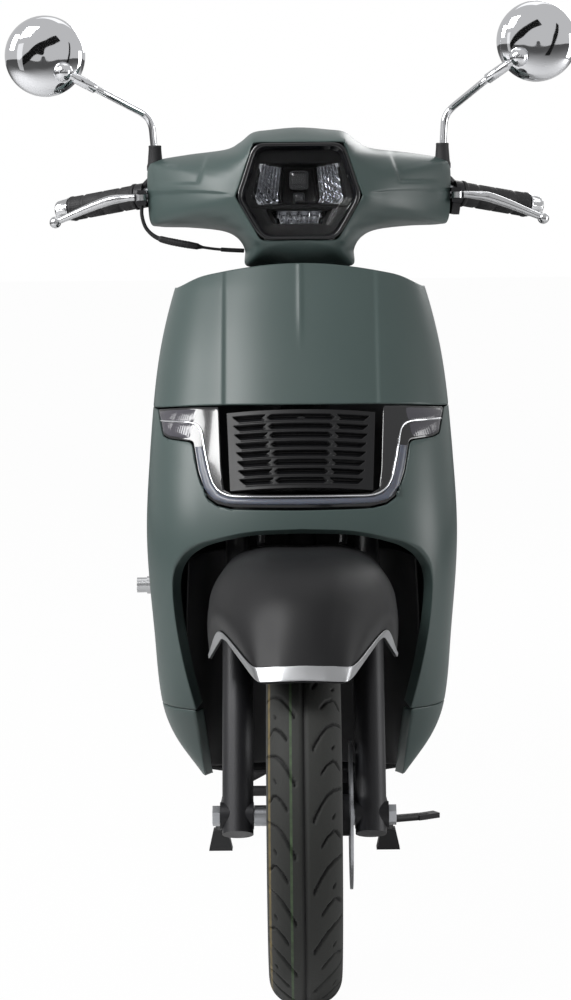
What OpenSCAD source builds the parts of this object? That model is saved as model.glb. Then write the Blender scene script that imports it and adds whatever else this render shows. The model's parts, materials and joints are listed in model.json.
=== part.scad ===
// Moped scooter with a step-through body on a tubular frame, a telescopic fork,
// twin rear shocks and a motor in the rear hub. It stands on its centre stand.
// +Z is up and the scooter faces -Y, so +X is the rider's left. Lengths are millimetres.

/* [Layout] */
// Distance between the wheel axles
wheelbase = 1300; // [1260:5:1360]
// Outer radius of both tyres
tyre_r = 233; // [226:1:238]
// Width of both tyres
tyre_w = 90; // [80:1:96]
// Height of both tyres from the rim to the crown
tyre_h = 81; // [78:1:84]
// Tilt of the steering axis from upright, in degrees
rake = 26; // [25:0.5:27]
// Distance along the ground from the steering axis to the front contact
trail = 85; // [80:1:90]
// Height of the rear tyre above the ground on the centre stand
stand_lift = 12; // [8:1:18]
// Distance from the rear axle to the end of the mudguard
rear_reach = 265; // [255:1:285]

/* [Clearances] */
// Gap between fixed neighbours
fit_gap = 0.4; // [0.3:0.05:0.6]
// Radial clearance of a turning or sliding fit
run_gap = 0.05; // [0.03:0.01:0.08]
// Thickness of the moulded panels
wall = 3; // [2.4:0.1:3.6]

/* [Front body] */
// Greatest width of the leg shield
shield_w = 408; // [390:1:424]
// Height of the seam under the apron
seam_z = 338; // [330:1:344]
// Height of the lower edge of the front body
skirt_z = 236; // [230:1:242]
// Height of the front cover's top edge
cover_top_z = 914; // [905:1:918]
// Height of the front cover's lower edge
cover_low_z = 735; // [730:1:740]
// Squareness of the leg shield's plan curve
shield_square = 2.4; // [2.2:0.05:2.6]
// Depth of the arch's turned-in lip
arch_lip = 20; // [14:1:24]
// Half distance between the two creases on the front cover
crease_x = 100; // [96:1:104]
// Height of the step at each crease
crease_step = 2.5; // [1.5:0.1:3]

/* [Grille] */
// Number of louvre rows
louvre_rows = 8; // [6:1:9]
// Height of one louvre slot
louvre_h = 6.5; // [5:0.1:7]

/* [Fork and wheels] */
// Half distance between the fork legs
leg_x = 83; // [82:0.5:86]
// Radius of the fork's sliders
slider_r = 19.5; // [18:0.5:20]
// Radius of the fork's inner tubes
stanchion_r = 15.5; // [14:0.5:16]
// Fork travel
fork_travel = 60; // [50:1:64]
// Radius of both wheel axles
axle_r = 8; // [7:0.5:9]
// Radius of the brake disc
disc_r = 92; // [86:1:98]
// Thickness of the brake disc
disc_t = 3.5; // [3:0.5:4]

/* [Handlebar] */
// Radius of the handlebar tube
bar_r = 11; // [10:0.5:11.5]
// Half width of the handlebar
bar_reach = 138; // [130:1:142]
// Half width of the handlebar cover
cover_half = 206; // [203:1:208]
// Length of each grip
grip_len = 110; // [100:1:112]
// Radius of each grip
grip_r = 16.5; // [15.5:0.5:17.5]
// Radius of each mirror
mirror_r = 54; // [50:1:56]
// Radius of each mirror stem
stem_r = 4.8; // [4:0.2:5.4]

/* [Seat and rear] */
// Height of the seat rails' axes
seat_rail_z = 660; // [650:1:664]
// Thickness of the seat cushion at its front
seat_h = 66; // [58:1:72]
// Greatest width of the seat
seat_w = 300; // [280:1:310]
// Half distance between the shocks
shock_x = 112; // [110:0.5:114]
// Radius of the shock springs' wire
spring_wire_r = 3.4; // [3:0.1:3.8]
// Number of curls on each shock spring
spring_turns = 9; // [7:1:10]

/* [Frame and stands] */
// Half distance between the floor rails
rail_x = 85; // [83:0.5:88]
// Radius of the floor rails
rail_r = 16; // [14:0.5:17]
// Height of the floor rails' axes
rail_z = 250; // [248:1:254]
// Top of the floorboard
floor_z = 336; // [332:1:337]
// Half distance between the centre stand's feet
foot_x = 129; // [124:1:134]
// Radius of the two pegs
peg_r = 14; // [12:0.5:15]

/* [Hidden] */
$fn = 48;

body_green = [0.29, 0.33, 0.33];
dark = [0.06, 0.06, 0.065];
satin_black = [0.11, 0.11, 0.12];
silver = [0.72, 0.73, 0.74];
chrome = [0.85, 0.86, 0.88];
rubber = [0.05, 0.05, 0.05];
clear = [0.85, 0.88, 0.9];
amber_white = [0.92, 0.92, 0.9];
red = [0.6, 0.05, 0.05];

// Everything is drawn with the front axle above y = 0 and then moved so that
// the middle of the whole length is at the origin.
front_axle_y = -(wheelbase + rear_reach - tyre_r) / 2;
rear_y = wheelbase;
rear_axle_z = tyre_r + stand_lift;
module bike() translate([0, front_axle_y, 0]) children();
module both() {
    children();
    mirror([1, 0, 0]) children();
}

// The steering frame: its z axis is the steering axis, its origin is on the ground.
module on_steer() translate([0, -trail, 0]) rotate([-rake, 0, 0]) children();
function steer_y(z) = -trail + z * tan(rake);
axle_up = trail * sin(rake) + tyre_r * cos(rake);
axle_fore = trail * cos(rake) - tyre_r * sin(rake);

// Curves and surfaces
function cubic(a, b, c, d, t) =
    b + 0.5 * t * ((c - a) + t * ((2 * a - 5 * b + 4 * c - d) + t * (3 * (b - c) + d - a)));
// Point at share t of a smooth curve through the points p
function along(p, t) = let (n = len(p) - 1, k = min(floor(t * n), n - 1), f = t * n - k)
    cubic(k > 0 ? p[k - 1] : 2 * p[0] - p[1], p[k], p[k + 1],
          k < n - 1 ? p[k + 2] : 2 * p[n] - p[n - 1], f);
// Point at share t of the straight runs through the points p
function stepped(p, t) = let (n = len(p) - 1, k = min(floor(t * n), n - 1), f = t * n - k)
    p[k] + (p[k + 1] - p[k]) * f;
// Grid of points on the smooth surface through a net of rows
function net_grid(net, nu, nv) =
    [for (j = [0:nv]) [for (i = [0:nu]) along([for (row = net) along(row, i / nu)], j / nv)]];
function flip_x(p) = [-p[0], p[1], p[2]];
// A row from the middle to the +X side, carried over to the -X side
function full_row(row) = concat([for (i = [len(row) - 1:-1:1]) flip_x(row[i])], row);
function unit(v) = v / norm(v);
// Normal of a grid at one point; a looped grid joins its last column to its first
function grid_normal(g, i, j, loop) = let (m = len(g[0]),
    a = loop ? g[j][(i + 1) % m] - g[j][(i + m - 1) % m] : g[j][min(i + 1, m - 1)] - g[j][max(i - 1, 0)],
    b = g[min(j + 1, len(g) - 1)][i] - g[max(j - 1, 0)][i]) unit(cross(a, b));
function lifted(g, h, loop = false) = [for (j = [0:len(g) - 1])
    [for (i = [0:len(g[0]) - 1]) g[j][i] + h * grid_normal(g, i, j, loop)]];

// Closed solid between two grids; the first lies on the side that the grid's normal points to.
module slab(outer, inner, loop = false) {
    nc = len(outer[0]);
    nr = len(outer);
    n = nc * nr;
    cells = loop ? nc : nc - 1;
    function at(i, j) = j * nc + i % nc;
    edges = loop
        ? concat([for (i = [0:nc - 1]) [at(i, 0), at(i + 1, 0)]],
                 [for (i = [0:nc - 1]) [at(i + 1, nr - 1), at(i, nr - 1)]])
        : concat([for (i = [0:nc - 2]) [at(i, 0), at(i + 1, 0)]],
                 [for (j = [0:nr - 2]) [at(nc - 1, j), at(nc - 1, j + 1)]],
                 [for (i = [0:nc - 2]) [at(i + 1, nr - 1), at(i, nr - 1)]],
                 [for (j = [0:nr - 2]) [at(0, j + 1), at(0, j)]]);
    polyhedron(
        points = concat([for (row = outer) each row], [for (row = inner) each row]),
        faces = concat(
            [for (j = [0:nr - 2], i = [0:cells - 1]) each [
                [at(i, j), at(i, j + 1), at(i + 1, j + 1)],
                [at(i, j), at(i + 1, j + 1), at(i + 1, j)],
                [n + at(i, j), n + at(i + 1, j + 1), n + at(i, j + 1)],
                [n + at(i, j), n + at(i + 1, j), n + at(i + 1, j + 1)]]],
            [for (e = edges) each [[e[0], e[1], n + e[1]], [e[0], n + e[1], n + e[0]]]]));
}
// Panel of thickness t under the side that the grid's normal points to
module panel(g, t) {
    if (t > 0) slab(g, lifted(g, -t));
    else slab(lifted(g, -t), g);
}
// Closed solid through rings of points, with flat ends
module skin(rings) {
    m = len(rings[0]);
    last = len(rings) - 1;
    polyhedron(
        points = [for (ring = rings) each ring],
        faces = concat(
            [for (j = [0:last - 1], i = [0:m - 1]) let (k = (i + 1) % m) each [
                [j * m + i, j * m + k, (j + 1) * m + k], [j * m + i, (j + 1) * m + k, (j + 1) * m + i]]],
            [for (i = [1:m - 2]) each [
                [0, i + 1, i], [last * m, last * m + i, last * m + i + 1]]]));
}
// Tube along the points p, which nowhere run along the side hint; r is its radius, or one for each point
function tube_rings(p, r, sides, side_hint) = [for (k = [0:len(p) - 1]) let (
    t = unit(p[min(k + 1, len(p) - 1)] - p[max(k - 1, 0)]),
    a = unit(cross(t, side_hint)), b = cross(t, a))
    [for (i = [0:sides - 1]) p[k] + (is_list(r) ? r[k] : r)
        * (cos(360 * i / sides) * b + sin(360 * i / sides) * a)]];

// Turns the z axis onto the line from a to b
module aim(a, b) {
    d = b - a;
    translate(a) rotate([0, acos(d[2] / norm(d)), atan2(d[1], d[0])]) children();
}
module rod(a, b, r) aim(a, b) cylinder(h = norm(b - a), r = r);
// Bent tube with a slightly fuller weld at each bend
bend_swell = 1.04;
module bent_tube(p, r) {
    for (k = [0:len(p) - 2]) rod(p[k], p[k + 1], r);
    for (k = [1:1:len(p) - 2]) translate(p[k]) sphere(r = r * bend_swell);
}
module cross_rod(x0, x1, y, z, r) translate([x0, y, z]) rotate([0, 90, 0]) cylinder(h = x1 - x0, r = r);

// Front body surface. Each row of the profile is a height with the shield's half width as a share
// of the greatest, the middle's distance behind the front axle and the depth of the plan curve.
shield_profile = [[skirt_z, 0.66, 190, 55], [290, 0.84, 165, 80], [seam_z, 0.917, 130, 105],
    [430, 0.96, 95, 140], [555, 1, 84, 150], [660, 0.983, 118, 150], [785, 0.931, 186, 140],
    [880, 0.825, 243, 120], [cover_top_z, 0.74, 264, 112]];
function profile_slope(t, k) = let (a = t[max(k - 1, 0)], b = t[min(k + 1, len(t) - 1)])
    (b - a) / (b[0] - a[0]);
function profile_find(t, z, k = 0) = k >= len(t) - 2 || z < t[k + 1][0] ? k : profile_find(t, z, k + 1);
// Smooth reading of the profile at the height z
function profile_at(t, z) = let (k = profile_find(t, z), h = t[k + 1][0] - t[k][0], f = (z - t[k][0]) / h,
    m0 = profile_slope(t, k) * h, m1 = profile_slope(t, k + 1) * h)
    t[k] * (2 * pow(f, 3) - 3 * f * f + 1) + m0 * (pow(f, 3) - 2 * f * f + f)
    + t[k + 1] * (3 * f * f - 2 * pow(f, 3)) + m1 * (pow(f, 3) - f * f);
function shield_half(z) = profile_at(shield_profile, z)[1] * shield_w / 2;
function shield_edge_y(z) = let (p = profile_at(shield_profile, z)) p[2] + p[3];
function shield_y(x, z) = let (p = profile_at(shield_profile, z),
    q = min(1, abs(x) / (p[1] * shield_w / 2)))
    p[2] + p[3] * (1 - pow(1 - pow(q, shield_square), 1 / shield_square));
// Point of the shield's surface, moved back by d
function on_shield(x, z, d = 0) = [x, shield_y(x, z) + d, z];

// Front cover: from the light bar to the handlebar's neck, with a raised middle between two creases
function cover_low(x) = cover_low_z - 14 * pow(abs(x) / 188, 4);
function cover_top(x) = cover_top_z - 15 * pow(abs(x) / 128, 2);
crease_bevel = 4;
cover_columns = [0, 34, 68, crease_x - crease_bevel, crease_x + crease_bevel];
cover_rim = [0.3, 0.55, 0.75, 0.9, 0.97, 1];
function cover_row(v) = let (zm = cover_low_z + (cover_top_z - 27 - cover_low_z) * v, w = shield_half(zm),
    xs = concat(cover_columns, [for (f = cover_rim) crease_x + crease_bevel
        + (w - crease_x - crease_bevel) * f]))
    full_row([for (x = xs) let (low = cover_low(x), z = low + (cover_top(x) - low) * v)
        [x, shield_y(x * (w > shield_half(z) ? shield_half(z) / w : 1), z)
            + (x > crease_x ? crease_step : 0), z]]);
module front_cover() color(body_green) bike()
    panel([for (v = [0:0.125:1]) cover_row(v)], wall);

// Outline of the wheel arch, from the seam up to the middle, with the light bar's outline beside it
arch_half = [[139, seam_z], [153, 395], [163, 450], [167, 498], [164, 525], [156, 541], [146, 552],
    [130, 562], [108, 569], [80, 576], [50, 580], [0, 582]];
bar_low = [[181, 692], [172, 689], [141, 687], [134, 650], [123, 620], [109, 610], [88, 606], [0, 605]];
apron_side_z = [seam_z, 440, 545, 645, 717];
apron_outer = concat([for (z = apron_side_z) [shield_half(z), z]], [[188.4, 717.6]], bar_low);
// The outer edge runs up the side and then along the light bar
function apron_edge(t) = let (p = stepped(apron_outer, t))
    t * (len(apron_outer) - 1) < len(apron_side_z) - 1 ? [shield_half(p[1]), p[1]] : p;
function arch_point(t) = along(arch_half, t);
// The lip is turned in towards the arch's eye, and less so over the top, where the turned fork passes
arch_eye = [0, 470];
lip_in = 11;
lip_top_share = 0.25;
function lip_share(t) = let (s = max(0, min(1, (t - 0.58) / 0.2))) 1
    - (1 - lip_top_share) * s * s * (3 - 2 * s);
function toward_arch(p, share) = p + unit(arch_eye - p) * lip_in * (1 + share) / 2;
// One line of the apron, from the turned-in lip to the outer edge
apron_shares = [0, 0.3, 0.6, 0.82, 0.94, 1];
function apron_line(t) = let (a = arch_point(t), b = apron_edge(t), c = toward_arch(a, lip_share(t)))
    concat([[c[0], shield_y(a[0], a[1]) + arch_lip * lip_share(t), c[1]]],
        [for (f = apron_shares) let (p = a + (b - a) * f) on_shield(p[0], p[1])]);
apron_steps = 2 * (len(apron_outer) - 1);
apron_lines = [for (k = [0:apron_steps]) apron_line(k / apron_steps)];
apron_grid = concat([for (k = [0:apron_steps]) [for (p = apron_lines[k]) p]],
    [for (k = [apron_steps - 1:-1:0]) [for (p = apron_lines[k]) flip_x(p)]]);
// Along the light bar the apron's rim runs straight back
apron_under = lifted(apron_grid, -wall);
apron_rim_from = 2 * len(apron_side_z);
function apron_under_row(j) = let (k = min(j, 2 * apron_steps - j),
    n = len(apron_shares)) k > apron_rim_from
    ? concat([for (i = [0:n - 1]) apron_under[j][i]], [apron_grid[j][n] + [0, wall, 0]]) : apron_under[j];
module front_apron() color(body_green) bike()
    slab(apron_grid, [for (j = [0:2 * apron_steps]) apron_under_row(j)]);

// Lower wings: below the seam, round the side and back under the floor's edge
wing_low_arch = 131;
wing_arch_slope = 0.09;
wing_end_y = rear_y - 565;
floor_side = 0.97;
wing_shares = [0, 0.4, 0.75, 0.93, 1];
function wing_arch(z) = min(shield_half(z) - 2, wing_low_arch + (z - skirt_z) * wing_arch_slope);
function wing_row(z) = let (a = wing_arch(z), w = shield_half(z), e = shield_edge_y(z), lip = a - 10)
    concat([[lip, shield_y(a, z) + arch_lip, z]],
        [for (f = wing_shares) on_shield(a + (w - a) * f, z)],
        [for (f = [0.2, 0.6, 1]) [w * (1 - f * (1 - floor_side)), e + (wing_end_y - e) * f, z]]);
module lower_wing() panel([for (f = [0:0.2:1]) wing_row(skirt_z + (seam_z - 1 - skirt_z) * f)], wall);
module lower_wings() color(body_green) bike() both() lower_wing();

// Light bar: a dark housing in the shape of a wide U with pointed ends under the front cover
housing_set = 1;
bar_edge = 1;
housing_low = [[187, 718.4], [180, 692.9], [172, 689.8], [139.8, 687.9], [132.8, 650.4], [121.9, 620.9],
    [108.4, 611], [88, 606.9], [0, 605.9]];
housing_top = [[186.2, 719], [172, 723.4], [158, 726.4], [132, 730.4], [106, 731.9], [102.5, 655],
    [99, 630],
    [88, 624.5], [0, 624.5]];
function band_row(low, top, f, d, n) = full_row([for (i = [n:-1:0]) let (t = i / n,
    p = stepped(low, t), q = stepped(top, t), m = p + (q - p) * f) on_shield(m[0], m[1], d)]);
function band_grid(low, top, d, n) = [for (f = [0, 0.5, 1]) band_row(low, top, f, d, n)];
housing_steps = 16;
module light_bar_housing() color(satin_black) bike()
    slab(band_grid(housing_low, housing_top, housing_set, housing_steps),
         band_grid(housing_low, housing_top, housing_set + wall, housing_steps));

// Lenses of the light bar: a U-shaped light guide and an indicator at each end
lens_proud = 1.5;
guide_low = [[137, 683], [127.5, 640], [117, 620], [94, 612], [0, 611.5]];
guide_top = [[126, 684], [116, 643], [107.5, 628.5], [90, 621], [0, 620.5]];
signal_low = [[185.5, 715.5], [179.5, 696], [172, 692.4], [147, 690.6]];
signal_top = [[185, 717], [172, 721], [160, 724], [142, 728]];
function half_band(low, top, d, n) = [for (f = [0, 1]) [for (i = [n:-1:0]) let (t = i / n,
    p = stepped(low, t), q = stepped(top, t), m = p + (q - p) * f) on_shield(m[0], m[1], d)]];
guide_steps = 12;
signal_steps = 6;
module light_bar_lens() color(amber_white) bike() {
    slab(band_grid(guide_low, guide_top, -lens_proud, guide_steps),
         band_grid(guide_low, guide_top, housing_set - 2 * fit_gap, guide_steps));
    both() slab(half_band(signal_low, signal_top, -lens_proud, signal_steps),
                half_band(signal_low, signal_top, housing_set - 2 * fit_gap, signal_steps));
}

// Grille: a curved plate between the light bar's arms, with rows of three slots whose ends lean
grille_top = [96, 729.5];
grille_low = [91.5, 632.5];
grille_mid_z = (grille_top[1] + grille_low[1]) / 2;
grille_mid_y = shield_y(0, grille_mid_z) + housing_set;
grille_lean = atan((shield_y(0, grille_top[1]) - shield_y(0, grille_low[1])) / (grille_top[1]
    - grille_low[1]));
grille_rise = (grille_top[1] - grille_low[1]) / 2 / cos(grille_lean);
grille_bow_r = 399;
grille_border = 4.5;
bar_between = 9;
slot_lean = 5;
function grille_half(f) = grille_low[0] + (grille_top[0] - grille_low[0]) * f;
module grille_outline() polygon([[-grille_half(0), -grille_rise], [grille_half(0), -grille_rise],
    [grille_half(1), grille_rise], [-grille_half(1), grille_rise]]);
module louvre_slot(x0, x1, lean0, lean1)
    polygon([[x0, -louvre_h / 2], [x1, -louvre_h / 2], [x1 + lean1, 0], [x1, louvre_h / 2],
             [x0, louvre_h / 2], [x0 - lean0, 0]]);
module louvre_row(f) {
    inner = 30 + 12 * f;
    outer = grille_half(f) - grille_border - slot_lean;
    louvre_slot(-inner, inner, slot_lean, slot_lean);
    louvre_slot(inner + bar_between + slot_lean, outer, -slot_lean, 0);
    louvre_slot(-outer, -inner - bar_between - slot_lean, 0, -slot_lean);
}
module front_grille() color(dark) bike()
    translate([0, grille_mid_y, grille_mid_z]) rotate([90 - grille_lean, 0, 0]) difference() {
        intersection() {
            translate([0, 0, -50]) linear_extrude(100) grille_outline();
            translate([0, grille_rise + 1, -grille_bow_r]) rotate([90, 0, 0]) difference() {
                cylinder(h = 2 * grille_rise + 2, r = grille_bow_r, $fn = 96);
                translate([0, 0, -1]) cylinder(h = 2 * grille_rise + 4, r = grille_bow_r - wall, $fn = 96);
            }
        }
        for (k = [0:louvre_rows - 1]) let (f = (k + 0.5) / louvre_rows)
            translate([0, (2 * f - 1) * (grille_rise - grille_border), -50])
                linear_extrude(100) louvre_row(f);
    }

// Wheel arch liner: behind the arch, round the front wheel's sweep
liner_back_y = 286;
liner_top_z = 548;
liner_front = [[wing_arch(skirt_z) - 6, 262, skirt_z + 6], [wing_arch(skirt_z) + 8, 215, 300],
    [150, 176, 420], [146, 172, liner_top_z - 14]];
function liner_row(p) = full_row([[0, liner_back_y, p[2]], [70, liner_back_y - 4, p[2]],
    [min(118, p[0] - 12), max(p[1] + 4, liner_back_y - 32), p[2]], p]);
module wheel_arch_liner() color(dark) bike()
    panel(net_grid([for (p = liner_front) liner_row(p)], 18, 6), wall);

// Inner leg shield: faces the rider and closes the front body from behind
inner_bulge = [[seam_z + 1.2, 400], [450, 402], [600, 405], [760, 418], [884, 448.5]];
function inner_row(b) = let (z = b[0], w = shield_half(z), e = shield_edge_y(z) + crease_step + fit_gap)
    full_row([[0, b[1], z], [w * 0.42, b[1] - 6, z], [w * 0.8, e + (b[1] - e) * 0.6, z], [w, e, z]]);
module inner_leg_shield() color(satin_black) bike()
    panel(net_grid([for (b = inner_bulge) inner_row(b)], 18, 10), -wall);

// Floorboard: a ribbed tray between the leg shield and the seat skirt
floor_front_y = 390;
floor_end_y = rear_y - 592;
floor_half = shield_half(floor_z - 14) * floor_side - wall - 0.7;
floor_rib_h = 3;
floor_ribs = 7;
module floorboard() color(dark) bike() {
    difference() {
        translate([-floor_half, floor_front_y, floor_z - 14])
            cube([2 * floor_half, floor_end_y - floor_front_y, 14]);
        translate([-floor_half + wall, floor_front_y + wall, floor_z - 15])
            cube([2 * floor_half - 2 * wall, floor_end_y - floor_front_y - 2 * wall, 15 - wall]);
    }
    for (k = [0:floor_ribs - 1]) let (x = (k - (floor_ribs - 1) / 2) * 2 * (floor_half - 26) / (floor_ribs
        - 1))
        translate([x - 6, floor_front_y + 24, floor_z - 1])
            cube([12, floor_end_y - floor_front_y - 48, floor_rib_h + 1]);
}

// Belly pan: closes the body under the battery
belly_drop = 16;
belly_front_y = 292;
belly_end_y = rear_y - 560;
function belly_row(y, lift) = full_row([[0, y, skirt_z - belly_drop + lift],
    [wing_low_arch * 0.7, y, skirt_z - belly_drop + 1 + lift], [wing_low_arch - 1, y, skirt_z - 0.6]]);
module belly_pan() color(dark) bike() difference() {
    panel(net_grid([belly_row(belly_front_y, 10), belly_row(400, 0), belly_row(belly_end_y, 0)], 12, 6),
        wall);
    // Slot for the side stand's lug
    translate([side_stand_x - 9.5, side_stand_y - 16, 150]) cube([9, 32, 120]);
}

// Side panels: from the floor to the tail, with their lower edge rising towards the rear
panel_front_y = rear_y - 585;
panel_low = [[163, panel_front_y, floor_z + 8], [152, rear_y - 420, 398], [150, rear_y - 160, 520],
    [124, rear_y + 60, 578], [72, rear_y + 185, 618]];
panel_mid = [[177, panel_front_y, 470], [177, rear_y - 420, 520], [172, rear_y - 160, 600],
    [142, rear_y + 60, 636], [80, rear_y + 190, 652]];
panel_top = [[146, panel_front_y, seat_rail_z + 39], [150, rear_y - 420, seat_rail_z + 39],
    [150, rear_y - 160, seat_rail_z + 39], [126, rear_y + 60, seat_rail_z + 39],
    [72, rear_y + 185, seat_rail_z + 38]];
module side_panels() color(body_green) bike() both()
    panel(net_grid([panel_low, panel_mid, panel_top], 16, 8), wall);

// Seat skirt: closes the body ahead of the seat, between the side panels
function skirt_row(k, bow) = let (p = along([panel_low[0], panel_mid[0], panel_top[0]], k))
    full_row([[0, p[1] - bow, p[2]], [p[0] * 0.55, p[1] - bow * 0.8, p[2]],
        [p[0] - wall - 2.4, p[1] + 1, p[2]]]);
module seat_skirt() color(body_green) bike() difference() {
    panel(net_grid([skirt_row(0.03, 2), skirt_row(0.35, 5), skirt_row(0.7, 6), skirt_row(1, 5)], 12, 6),
        wall);
    // Notch for the seat's hinge
    translate([-hinge_half - 8, panel_front_y - 40, hinge_z - 10]) cube([2 * hinge_half + 16, 80, 60]);
}

// Tail light: a bowed lens between the side panels' ends
tail_y = rear_y + 186;
tail_half = panel_top[4][0] - wall - 2;
tail_low_z = 628;
tail_high_z = seat_rail_z + 30;
tail_bow = 14;
module tail_light() color(red) bike() {
    translate([0, tail_y - 30, tail_low_z]) linear_extrude(tail_high_z - tail_low_z)
        polygon(concat([[-tail_half, 0], [tail_half, 0]],
            [for (a = [0:15:180]) [tail_half * cos(a), 30 + tail_bow * sin(a)]]));
    // Stems under the frame's rear cross tube
    both() translate([14, seat_rail_end_y - 6, seat_rail_z + 4 - upright_r + 1.5 - fit_gap - 12])
        cube([tail_half * 0.5, tail_y - seat_rail_end_y, 12]);
}

// Rear mudguard: an arched strip round the rear tyre, hung under the tail
guard_end = 22;
guard_start = 84;
guard_end_r = rear_reach / cos(guard_end);
guard_start_r = 322;
guard_half = 72;
function guard_point(a, drop) = let (r = guard_end_r + (guard_start_r - guard_end_r)
    * (a - guard_end) / (guard_start - guard_end) - drop)
    [rear_y + r * cos(a), rear_axle_z + r * sin(a)];
function guard_row(a) = full_row([for (s = [[0, 0], [0.6, 2], [0.92, 9], [1, 22]])
    let (p = guard_point(a, s[1])) [guard_half * s[0], p[0], p[1]]]);
guard_angles = [for (k = [0:4]) guard_start + (guard_end - guard_start) * k / 4];
module rear_mudguard() color(dark) bike()
    panel(net_grid([for (a = guard_angles) guard_row(a)], 14, 12), -wall * 0.8);

// Frame
rail_end_y = rear_y - 355;
rail_front_y = 372;
upright_x = 112;
upright_r = 12;
seat_rail_front_y = panel_front_y + 12;
seat_rail_end_y = rear_y + 120;
head_low = 680;
head_high = 860;
head_r = 27;
stem_tube_r = 14;
head_bore = 20;
race_h = 14;
pivot_y = rear_y - 370;
pivot_z = rail_z + 5;
pivot_r = 8;
stand_y = rear_y - 465;
stand_z = 165;
stand_pin_r = 6;
stand_lug_x = 58;
lug_t = 6;
shock_stud_r = 6;
shock_top = [shock_x, rear_y - 90, 560];
shock_low = [shock_x, rear_y - 15, rear_axle_z + 30];
eye_half = 11;
down_tube_r = 20;
strap_t = 4;
side_stand_y = 560;
side_stand_z = 205;
side_stand_x = 96;
hinge_y = rear_y - 600;
hinge_z = seat_rail_z + 34;
hinge_pin_r = 4;
hinge_half = 28;
peg_y = rear_y - 300;
peg_z = 385;
peg_root_x = 166;
peg_pin_r = 5;
nose_z = 712;
nose_end_y = grille_mid_y + (nose_z + 8 - grille_mid_z) * tan(grille_lean) + wall / cos(grille_lean)
    + fit_gap;
liner_stay_z = 450;
guard_stay = guard_point(guard_angles[1], 0);
post_ys = [440, rear_y - 640];
module frame_tubes() {
    on_steer() translate([0, 0, head_low]) cylinder(h = head_high - head_low, r = head_r);
    bent_tube([[0, steer_y(690) + 8, 690], [0, 350, 560], [0, 352, 320], [0, rail_front_y, rail_z]],
        down_tube_r);
    rod([-rail_x, rail_front_y, rail_z], [rail_x, rail_front_y, rail_z], rail_r - 1);
    rod([0, steer_y(nose_z) + 6, nose_z], [0, nose_end_y, nose_z], 8);
    rod([0, steer_y(735), 735], [0, inner_bulge[3][1] - wall - 3.1, inner_bulge[3][0]], 9);
    rod([0, 350, liner_stay_z], [0, liner_back_y + wall + 0.6, liner_stay_z], 7);
    // Stay of the rear mudguard, under the rear cross tube
    rod([0, seat_rail_end_y, seat_rail_z], [0, guard_stay[0], guard_stay[1] + 5.4], 6);
    both() {
        rod([rail_x, rail_front_y - rail_r, rail_z], [rail_x, rail_end_y, rail_z], rail_r);
        bent_tube([[rail_x, rear_y - 520, rail_z], [upright_x, rear_y - 470, 420],
            [upright_x, rear_y - 450, seat_rail_z]], upright_r + 1);
        rod([upright_x, seat_rail_front_y, seat_rail_z], [upright_x, seat_rail_end_y - 160, seat_rail_z],
            upright_r);
        rod([upright_x, seat_rail_end_y - 170, seat_rail_z], [52, seat_rail_end_y + 8, seat_rail_z + 4],
            upright_r - 0.5);
        for (y = post_ys) translate([rail_x, y, rail_z])
            cylinder(h = floor_z - wall - fit_gap - rail_z, r = 8);
        // Upper shock bracket with its stud
        translate([shock_x - eye_half - 9, shock_top[1] - 16, shock_top[2] - 16])
            cube([8, 32, seat_rail_z - shock_top[2] + 16]);
        translate([shock_x - eye_half - 9, shock_top[1] - 16, shock_top[2] + 40])
            cube([18, 32, seat_rail_z - shock_top[2] - 40]);
        cross_rod(shock_x - eye_half - 4, shock_x + eye_half + 2, shock_top[1], shock_top[2], shock_stud_r);
        // Centre stand lug
        translate([stand_lug_x, stand_y - 14, stand_z - 14]) cube([lug_t, 28, rail_z - stand_z + 10]);
        translate([stand_lug_x, stand_y - 14, rail_z - 8]) cube([rail_x - stand_lug_x, 28, 10]);
        // Peg bracket with its upright pin
        bent_tube([[rail_x, rail_end_y - 65, rail_z], [118, peg_y - 70, 330],
            [peg_root_x, peg_y, peg_z - 34]], 9);
        translate([peg_root_x, peg_y, peg_z - 44]) cylinder(h = 24, r = 14);
        translate([peg_root_x, peg_y, peg_z - 25]) cylinder(h = 46, r = peg_pin_r);
        // Stays of the side panel
        bent_tube([[upright_x + 6, rear_y - 420, seat_rail_z], [142.9, rear_y - 420, seat_rail_z + 29]], 5);
        translate([142.9, rear_y - 420, seat_rail_z + 29]) sphere(r = 5.2);
        bent_tube([[74, rear_y + 60, seat_rail_z + 2], [118.6, rear_y + 60, seat_rail_z + 29]], 5);
        translate([118.6, rear_y + 60, seat_rail_z + 29]) sphere(r = 5.2);
        // Seat hinge ear
        cross_rod(hinge_half + 1, hinge_half + 6, hinge_y, hinge_z, 7);
        translate([hinge_half + 1, hinge_y, hinge_z - 6.5]) cube([5, seat_rail_front_y - hinge_y, 13]);
        translate([hinge_half + 1, seat_rail_front_y - 8, seat_rail_z - 4])
            cube([5, 16, hinge_z - seat_rail_z + 4]);
    }
    cross_rod(-upright_x, upright_x, panel_front_y + 12.3, seat_rail_z, upright_r - 1);
    cross_rod(-60, 60, seat_rail_end_y, seat_rail_z + 4, upright_r - 1.5);
    cross_rod(-hinge_half - 4, hinge_half + 4, hinge_y, hinge_z, hinge_pin_r);
    cross_rod(-stand_lug_x - 2, stand_lug_x + 2, stand_y, stand_z, stand_pin_r);
    for (y = [470, rear_y - 660]) translate([-rail_x, y, rail_z - rail_r - 1])
        cube([2 * rail_x, 36, strap_t]);
    // Side stand lug with its stud
    translate([side_stand_x - 8, side_stand_y - 14, side_stand_z - 14])
        cube([6, 28, rail_z - side_stand_z + 6]);
    cross_rod(side_stand_x - 4, side_stand_x + 22, side_stand_y, side_stand_z, stand_pin_r);
}
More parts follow.
